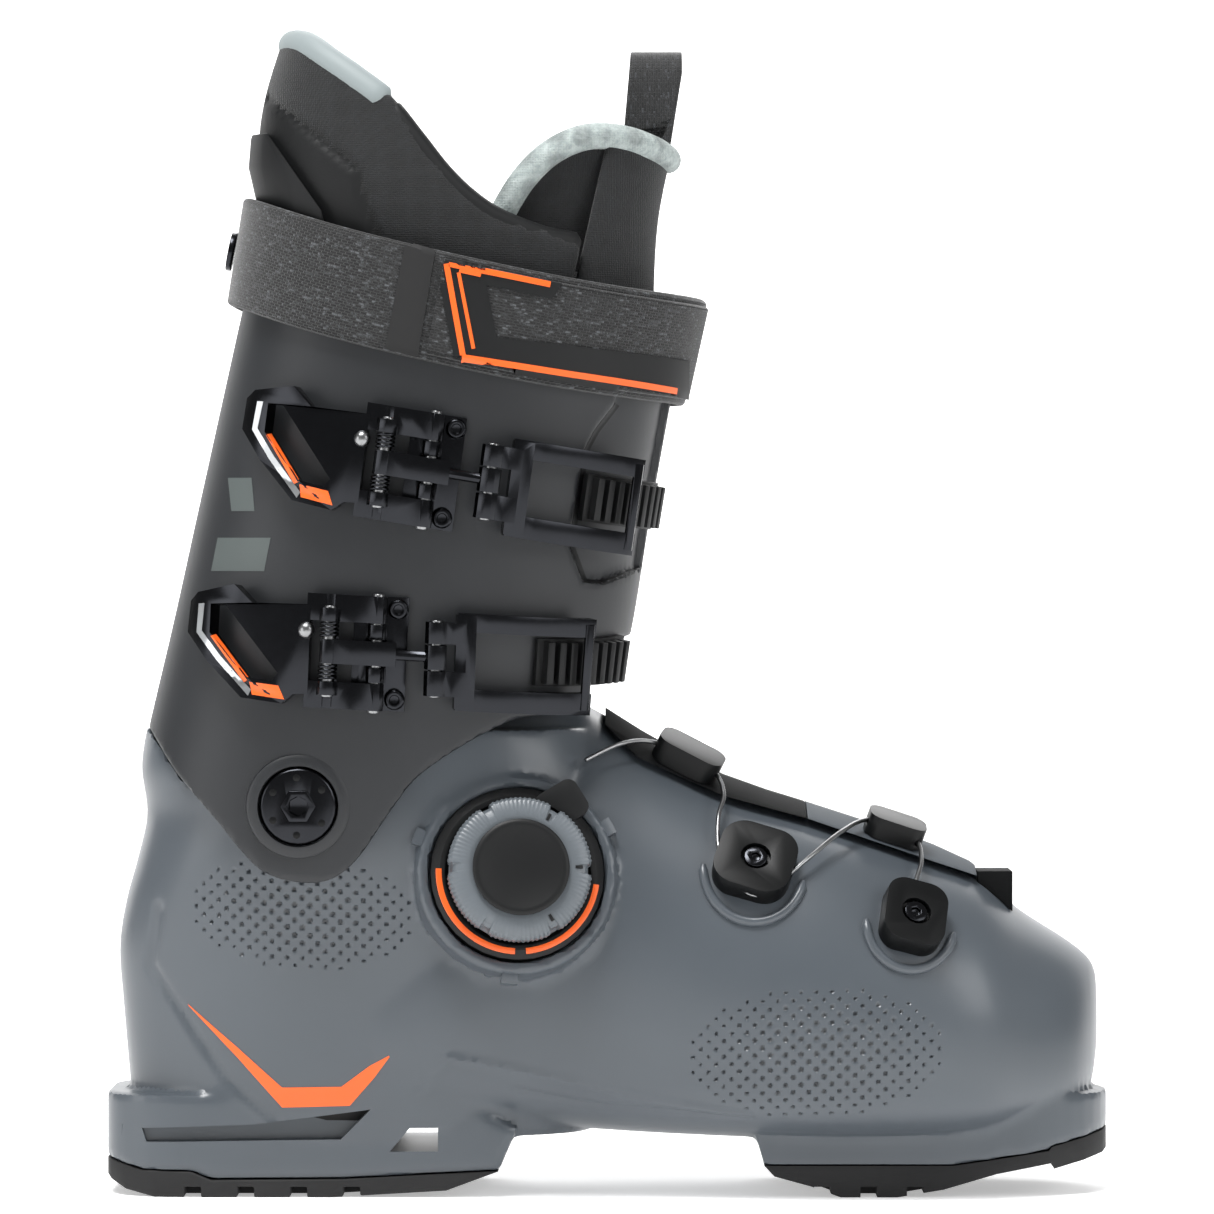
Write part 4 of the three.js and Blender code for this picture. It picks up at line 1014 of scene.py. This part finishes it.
def gripRadius(radius, height, angle):
    if radius < 18.5 or height < 7.5:
        return radius
    span = 360 / dialSet["grips"]
    away = abs((math.degrees(angle) + span / 2) % span - span / 2)
    if away < dialSet["gapHalf"]:
        return radius - 1.5 * (1 - smoothStep(dialSet["gapHalf"] - 1.6, dialSet["gapHalf"], away))
    return radius - dialSet["ribDepth"] * (0.5 - 0.5 * math.cos(dialSet["ribs"] * angle))


def buildKnob():
    profile = [(5.3, 6.4), (19.5, 6.4), (20.9, 7.4), (21.7, 9), (21.7, 11), (21.7, 13), (20.8, 14.3),
               (19.3, 15), (15.6, 15.5), (15.2, 15.4), (5.3, 15.4)]
    segments = 480
    piece = lathe("dial_knob_fine", profile, dialFrame, segments, gripRadius, 1e-8)
    shadeSmooth(piece, 30)
    return place(piece, "dial_knob", dialGrey, ["dial_knob"])


buildKnob()
cap = stud("dial_cap_fine", dialFrame, [(0, 15.7), (14.4, 15.7), (14.5, 16.9), (14.0, 17.3), (12.9, 17.5),
                                        (12.2, 17.2), (0, 17.2)], "dial_knob",
           blackPlastic, 96, 0)
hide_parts("dial_cap")
refine("dial_spool", blackPlastic, 0.0002)
refine("dial_base", blackPlastic, 0.0005, 2, 25)


def arcRing(name, inner, outer, low, high, start, stop, matrix, body, material):
    steps = max(int(abs(stop - start) / 3), 2)
    verts = []
    for i in range(steps + 1):
        angle = math.radians(start + (stop - start) * i / steps)
        for r, h in ((inner, low), (outer, low), (outer, high - 0.2), (outer - 0.25, high), (inner, high)):
            verts.append(matrix @ Vector((r * unit * math.cos(angle), r * unit * math.sin(angle), h * unit)))
    piece = ringTube(name, verts, 5)
    shadeSmooth(piece, 40)
    return place(piece, body, material)


for part, start, stop in (("left", 178, 268), ("right", 276, 352)):
    arcRing(f"dial_ring_{part}", 22.9, 24.6, 5.2, 6.15, start, stop, dialFrame, "shell",
            orangePaint)
for k in range(3):
    arcRing(f"dial_tick_{k}", 16.4, 18.6, 14.9, 15.55, 300 + k * 60, 303 + k * 60, dialFrame, "dial_knob",
            blackPlastic)
for k, start in enumerate((24, 155, 262)):
    arcRing(f"dial_lip_tab_{k}", 29.0, 33.0, -3, 2.0, start, start + 9, dialFrame, "shell",
            lugPlastic)
print("dial ready")


# ---- buckle details: springs, ball end, bolts and painted edges

def hingeFrame(jointName):
    joint = jointAt[jointName]
    up = Vector(joint["axis"]).normalized()
    up = up if up.z > 0 else -up
    out = Vector((0, -1, 0))
    out = (out - up * out.dot(up)).normalized()
    return frameAt(Vector(joint["pos_m"]), up, out.cross(up) if out.cross(up).x > 0 else up.cross(out))


def coil(name, matrix, radius, wire, low, high, turns, body):
    verts, steps, around = [], turns * 20, 8
    centre = [Vector((radius * math.cos(2 * math.pi * i / 20), radius * math.sin(2 * math.pi * i / 20),
                      low + (high - low) * i / steps)) for i in range(steps + 1)]
    for i, point in enumerate(centre):
        angle = 2 * math.pi * i / 20
        out = Vector((math.cos(angle), math.sin(angle), 0))
        for k in range(around):
            bend = 2 * math.pi * k / around
            verts.append(matrix @ ((point + out * wire * math.cos(bend)
                                    + Vector((0, 0, 1)) * wire * math.sin(bend)) * unit))
    piece = ringTube(name, verts, around)
    shadeSmooth(piece, 60)
    return place(piece, body, blackAlloy)


# radius and height of each turned end
ballProfile = [(0, -0.4), (2.5, -0.4), (2.4, 0.7), (1.7, 1.6), (0.8, 2.0), (0, 2.1)]
boltProfile = [(0, -0.5), (3.1, -0.5), (3.1, 1.2), (2.5, 1.9), (1.5, 1.9), (1.3, 1.1), (0, 1.1)]

for name, tilt in (("upper", 3.3), ("lower", 9.7)):
    linkPin = hingeFrame(f"{name}_link_turn")
    for k, (low, high) in enumerate(((4.1, 8.7), (-8.7, -4.1))):
        coil(f"{name}_spring_{k}", linkPin, 2.5, 0.45, low, high, 4, f"{name}_lever")
    lever = bpy.data.objects[f"{name}_lever_fine"]
    leverTree = treeOf(lever)
    hinge = Vector(jointAt[f"{name}_lever_open"]["pos_m"])
    lean = -legLean + math.radians(tilt)
    hingeX, hingeZ = hinge.x / unit / stretchX, hinge.z / unit

    def onBuckle(a, b, lean=lean, hingeX=hingeX, hingeZ=hingeZ):
        return (hingeX + a * math.cos(lean) - b * math.sin(lean),
                hingeZ + a * math.sin(lean) + b * math.cos(lean))

    def strips(rails):
        return [([onBuckle(*p) for p in left], [onBuckle(*p) for p in right]) for left, right in rails]

    tail = -55
    ribbon(f"{name}_lever_edge", strips([([(tail + 0.9, 12.2), (tail + 0.7, 3.6), (tail + 7.2, -4.2),
                                          (tail + 17.4, -14.4)],
                                         [(tail + 2.7, 12.4), (tail + 2.3, 4.2), (tail + 8.6, -3.2),
                                          (tail + 18.2, -12.6)])]),
           leverTree, 0.1, f"{name}_lever", silverEdge, 2, 0.7, 0.3)
    ribbon(f"{name}_lever_stripe", strips([([(tail + 5.1, 2.7), (tail + 16.0, -10.4)],
                                            [(tail + 6.5, 3.3), (tail + 17.5, -9.4)]),
                                           ([(tail + 17.6, -10.2), (tail + 18.6, -14.0)],
                                            [(tail + 26.4, -10.9), (tail + 28.4, -14.9)])]),
           leverTree, 0.12, f"{name}_lever", orangePaint, 3, 0.7, 0.5)
    ballX, ballZ = onBuckle(-21, 6.0)
    if touch(leverTree, ballX, ballZ)[0]:
        stud(f"{name}_ball_end", frameOn(leverTree, ballX, ballZ), ballProfile, f"{name}_lever",
             brightSteel, 32, 0)
    bracketTree = treeOf(bpy.data.objects[f"{name}_bracket_fine"])
    for k, (a, b) in enumerate(((6.0, 13.5), (6.0, -13.5))):
        x, z = onBuckle(a, b)
        if touch(bracketTree, x, z)[0]:
            stud(f"{name}_bolt_{k}", frameOn(bracketTree, x, z), boltProfile, "cuff", blackAlloy,
                 32, 0.00015)
print("buckle details ready")


# ---- liner: padded foam with a knitted face, a smooth collar and a rolled rim

linerSet = {"padding": 8.0, "voxel": 0.0018, "smoothing": 8, "rimRadius": 3.4}
linerRows = smoothRows([(30, 17.5, 63.9, 51.4), (148, 16, 61.9, 52.4), (165, 15, 61.5, 52.4),
                        (185, 8, 64, 53), (206, 3.5, 62.5, 50), (234, 3, 59.5, 46)], 5)
collarLine = curveThrough([(-114, 338), (-105, 344), (-101, 349.5), (-96, 351.2), (-88, 346), (-66, 332.5),
                           (-52, 313), (-35, 297), (-17, 291), (-4, 288), (60, 284)], 5)
linerBottom = [(-160, 150), (-140, 150), (-40, 164), (60, 176)]


def buildLinerCuff():
    piece = loft("linerCuffSkin", ringsOf(legRing, linerRows, -0.6, 120))
    hollow = loft("linerHollow", ringsOf(legRing, longerRows(linerRows), -linerSet["padding"], 120))
    combine(piece, hollow, "DIFFERENCE")
    combine(piece, sidePrism("linerSide", linerBottom + collarLine[::-1], -100, 100), "INTERSECT")
    front = [legPoint(46, 0, 0), legPoint(200, 0, 0), legPoint(200, 0, 320), legPoint(46, 0, 320)]
    outline = [(p.x / unit / stretchX, p.z / unit) for p in front]
    combine(piece, sidePrism("linerFront", outline, -100, 100), "DIFFERENCE")
    remesh(piece, linerSet["voxel"], 0.7, linerSet["smoothing"])
    return piece


# seams in side view, each a sewn channel
linerSeams = [[(-112, 340), (-104.7, 333.5), (-77.7, 311.4), (-75.2, 309.0), (-72.2, 296.7), (-68.8, 288)],
              [(-88, 345.5), (-74.6, 335.9), (-64.5, 333)],
              [(-62, 329), (-36, 300.5), (-12, 291.5)]]


def sewSeams(piece, seams, width, depth, layerName="seam"):
    work = bmesh.new()
    work.from_mesh(piece.data)
    work.normal_update()
    layer = work.verts.layers.float.new(layerName)
    for vert in work.verts:
        x, z = vert.co.x / unit / stretchX, vert.co.z / unit
        away = min(nearLine(x, z, seam) for seam in seams)
        vert[layer] = 1 - smoothStep(0.4, width * 0.6, away)
        if away < width and abs(vert.normal.y) > 0.15:
            vert.co -= vert.normal * depth * (1 - smoothStep(0, width, away))
    work.to_mesh(piece.data)
    work.free()


def fabric(name, base, fleck, scale, seamName="seam"):
    material, tree, shader = newMaterial(name)
    coords = addNode(tree, "ShaderNodeTexCoord").outputs["Object"]
    cells = addNode(tree, "ShaderNodeTexVoronoi", {"Vector": coords, "Scale": scale, "Randomness": 0.35})
    cloud = addNode(tree, "ShaderNodeTexNoise", {"Vector": coords, "Scale": scale * 0.35, "Detail": 5.0,
                                                 "Roughness": 0.7})
    large = addNode(tree, "ShaderNodeTexVoronoi", {"Vector": coords, "Scale": 125.0, "Randomness": 0.05})
    tint = colourRamp(tree, cloud.outputs["Fac"], [(0.36, base), (0.66, fleck)])
    hexes = colourRamp(tree, large.outputs["Distance"], [(0.25, grey(0.55)), (0.55, grey(1.0))])
    patterned = addNode(tree, "ShaderNodeMixRGB", {"Fac": 0.75, "Color1": tint, "Color2": hexes},
                        blend_type="MULTIPLY")
    seam = addNode(tree, "ShaderNodeAttribute", attribute_name=seamName)
    sewn = addNode(tree, "ShaderNodeMixRGB", {"Fac": seam.outputs["Fac"], "Color1": patterned.outputs[0],
                                              "Color2": (*scaled(base, 0.3), 1)})
    tree.links.new(sewn.outputs[0], shader.inputs["Base Color"])
    bump = addNode(tree, "ShaderNodeBump", {"Strength": 0.7, "Distance": 0.0004,
                                            "Height": cells.outputs["Distance"]})
    tree.links.new(bump.outputs[0], shader.inputs["Normal"])
    rough = colourRamp(tree, cloud.outputs["Fac"], [(0.3, grey(0.78)), (0.7, grey(0.95))])
    tree.links.new(rough, shader.inputs["Roughness"])
    shader.inputs["Sheen Weight"].default_value = 0.12
    return material


linerKnit = fabric("linerKnit", linear("#0a0b0c"), linear("#1c1e20"), 1500)
paleKnit = fabric("paleKnit", linear("#8f9998"), linear("#b4bdbb"), 1300)
collarGrey = mouldedPlastic("collarGrey", linear("#8a9394"), 0.62, 0.12, 1400)
smoothPanel = mouldedPlastic("smoothPanel", linear("#101112"), 0.55, 0.2, 1600, gloss=0.3)

linerCuff = buildLinerCuff()
sewSeams(linerCuff, linerSeams, 2.2, 0.0012)
shadeSmooth(linerCuff, 60)
linerCuff.name = "liner_cuff_fine"
place(linerCuff, "cuff", linerKnit, ["liner_cuff"])
linerCuff.data.materials.append(smoothPanel)
panel = [(-130, 352), (-104.7, 333.5), (-77.7, 311.4), (-75.2, 309.0), (-72.2, 296.7), (-68.8, 280),
         (-130, 280)]
for face in linerCuff.data.polygons:
    x, z = face.center.x / unit / stretchX, face.center.z / unit
    if insideOutline(x, z, panel):
        face.material_index = 1
print("liner cuff ready")


def leanHeight(x, z):
    offset = Vector((x * unit * stretchX - ankle.x, 0, z * unit - ankle.z))
    forward, upward = legAxes()
    return offset.dot(forward) / unit, offset.dot(upward) / unit


def rimPoint(x, z, side, table, inset):
    u, w = leanHeight(x, z)
    _, middle, depth, half = rowAt(table, w)
    share = min(max((u - middle) / (depth - inset), -1), 1)
    power = 2.3 if share > 0 else 2.8
    angle = math.acos(min(max(abs(share) ** (power / 2), 0), 1))
    y = (half - inset) * math.sin(angle) ** (2 / power)
    return legPoint(u, side * y, w)


rimLine = [(-97, 350.5), (-91, 348.6), (-84, 343.4), (-76, 337.6), (-66.5, 330.0), (-58, 319.5), (-50, 309.3),
           (-42, 301.5), (-33, 295.5), (-20, 290.5), (-9, 288.5)]
rimInset, rearPower = 4.2, 2 / 2.8


def rimShare(x, z):
    u, w = leanHeight(x, z)
    _, middle, depth, half = rowAt(linerRows, w)
    return (u - middle) / (depth - rimInset), middle, depth, half, w


rimCurve = [point for point in curveThrough(rimLine, 5) if rimShare(*point)[0] > -0.96]
cornerShare, rimMiddle, rimDepth, rimHalf, cornerUp = rimShare(rimCurve[0][0], rimCurve[0][1] - 1.2)
cornerTurn = math.acos((-cornerShare) ** (1 / rearPower))
backArc = []
for k in range(-9, 10):
    turn = cornerTurn * abs(k) / 10
    backArc.append(legPoint(rimMiddle - (rimDepth - rimInset) * math.cos(turn) ** rearPower,
                            (rimHalf - rimInset) * math.sin(turn) ** rearPower * (1 if k > 0 else -1), cornerUp))
nearRim = [rimPoint(x, z - 1.2, -1, linerRows, rimInset) for x, z in rimCurve]
farRim = [rimPoint(x, z - 1.2, 1, linerRows, rimInset) for x, z in rimCurve]
paleCount = sum(1 for x, z in rimCurve if x < -65)
palePath = nearRim[:paleCount][::-1] + backArc + farRim[:paleCount]
place(softTube("liner_collar", palePath, 4.5, 20), "cuff", collarGrey)
for k, rim in enumerate((nearRim, farRim)):
    place(softTube(f"liner_rim_{k}", rim[paleCount - 1:], linerSet["rimRadius"]), "cuff",
          smoothPanel)


# ---- tongue: a tall padded crescent with pale piping

tongueRows = smoothRows([(62, 17.5, 63.5, 51.4), (148, 16, 61.5, 51.4), (172, 13, 58.5, 48), (196, 8, 59.5, 44),
                         (217, 7, 60, 40)], 5)


def buildTongue():
    piece = loft("tongueSkin", ringsOf(legRing, tongueRows, -0.5, 120))
    combine(piece, loft("tongueHollow", ringsOf(legRing, longerRows(tongueRows), -9, 120)), "DIFFERENCE")
    back = [legPoint(46.6, 0, -60), legPoint(-200, 0, -60), legPoint(-200, 0, 320), legPoint(46.6, 0, 320)]
    combine(piece, sidePrism("tongueBack", [(p.x / unit / stretchX, p.z / unit) for p in back], -100, 100),
            "DIFFERENCE")
    remesh(piece, linerSet["voxel"], 0.7, 10)
    shadeSmooth(piece, 60)
    return piece


tongue = buildTongue()
tongue.name = "liner_tongue_fine"
place(tongue, "cuff", linerKnit, ["liner_tongue"])

# x, height and half width of the tongue's top edge, from the wing round to the front
edgeLine = curveThrough([(-33, 295, 35), (-26, 306.5, 35.5), (-17.5, 315, 34.5), (-7, 319.8, 32),
                         (4, 319.8, 27), (12.5, 317.4, 19), (17, 315.4, 9.5), (18.2, 314.6, 0)], 6)
edgePath = [mmPoint(x, -y, z) for x, z, y in edgeLine] + [mmPoint(x, y, z) for x, z, y in edgeLine[::-1][1:]]
place(softTube("tongue_piping", edgePath, 4.0, 18), "cuff", paleKnit)


def buildWing():
    forward, upward = legAxes()
    steps, verts = 9, []
    for inset in (0.0, 3.0):
        for point in edgePath:
            middle = Vector((point.x - 0.01, sideShift, point.z))
            inward = (middle - point).normalized() * inset * unit
            for k in range(steps):
                verts.append(point + inward - upward * (0.0015 + 0.005 * k) + inward * 0.5)
    wide, half = steps, len(verts) // 2
    faces = []
    for i in range(len(edgePath) - 1):
        for k in range(steps - 1):
            a, b = i * wide + k, (i + 1) * wide + k
            faces.append((a, b, b + 1, a + 1))
            faces.append((a + half, a + 1 + half, b + 1 + half, b + half))
    rim = ([i * wide for i in range(len(edgePath))]
           + [(len(edgePath) - 1) * wide + k for k in range(1, steps)]
           + [i * wide + steps - 1 for i in reversed(range(len(edgePath) - 1))]
           + [k for k in reversed(range(1, steps - 1))])
    faces += [(rim[i], rim[i] + half, rim[(i + 1) % len(rim)] + half, rim[(i + 1) % len(rim)])
              for i in range(len(rim))]
    piece = meshPiece("tongue_wing", verts, faces)
    tidyMesh(piece, 1e-7)
    shadeSmooth(piece, 60)
    return place(piece, "cuff", linerKnit)


buildWing()
print("tongue ready")


# ---- pull loop: a folded webbing with its faces to the sides

def buildPullLoop():
    low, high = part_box("pull_loop")
    middle = (low.y + high.y) / 2 / unit - sideShift / unit
    path = [(-9.2, 319.5), (-9.2, 328), (-9.2, 337.5), (-8.2, 342.4), (-5.4, 345.4), (0, 346.6), (5.4, 345.4),
            (8.2, 342.4), (9.2, 337.5), (9.2, 328), (9.2, 319.5)]
    fine = curveThrough(path, 5)
    verts, faces, spots, walked = [], [], [], 0
    across = 12
    for i, (y, z) in enumerate(fine):
        y0, z0 = fine[max(i - 1, 0)]
        y1, z1 = fine[min(i + 1, len(fine) - 1)]
        size = math.hypot(y1 - y0, z1 - z0) or 1
        outY, outZ = -(z1 - z0) / size, (y1 - y0) / size
        walked += math.hypot(y - y0, z - z0)
        t = (z - 318) / 29.5
        left, right = 4.2 + 2.6 * t, 18.8 + 3.6 * min(t * 1.3, 1)
        rim = [(left + (right - left) * j / across, 1.1) for j in range(across + 1)]
        rim += [(left + (right - left) * j / across, -1.1) for j in reversed(range(across + 1))]
        for x, out in rim:
            verts.append(mmPoint(x, middle + y + outY * out, z + outZ * out))
            spots.append((walked * unit, x * unit))
    count = len(spots) // len(fine)
    faces = loftFaces(len(fine), count)
    faces += [tuple(reversed(range(count))), tuple(range(len(verts) - count, len(verts)))]
    piece = weavePiece("pull_loop_fine", verts, faces, spots)
    bevelEdges(piece, 0.0004, 2, 40)
    shadeSmooth(piece, 50)
    return place(piece, "cuff", knitWeave, ["pull_loop"])


buildPullLoop()
tailPath = [(12.5, 324.5), (9.5, 318), (4.5, 309), (-1.5, 299), (-6.5, 290)]
for k, side in enumerate((-1, 1)):
    verts = []
    for x, z in curveThrough(tailPath, 5):
        for dx, dy in ((-7.4, 0), (-7.0, -1.1), (7.0, -1.1), (7.4, 0), (7.0, 1.1), (-7.0, 1.1)):
            verts.append(mmPoint(x + dx * 0.92, side * 9.2 + dy, z + dx * 0.3))
    strapTail = ringTube(f"pull_loop_tail_{k}", verts, 6)
    shadeSmooth(strapTail, 50)
    place(strapTail, "cuff", smoothPanel)
refine("liner_foot", linerKnit, 0.0008)
refine("footbed", paleKnit, 0.0008)
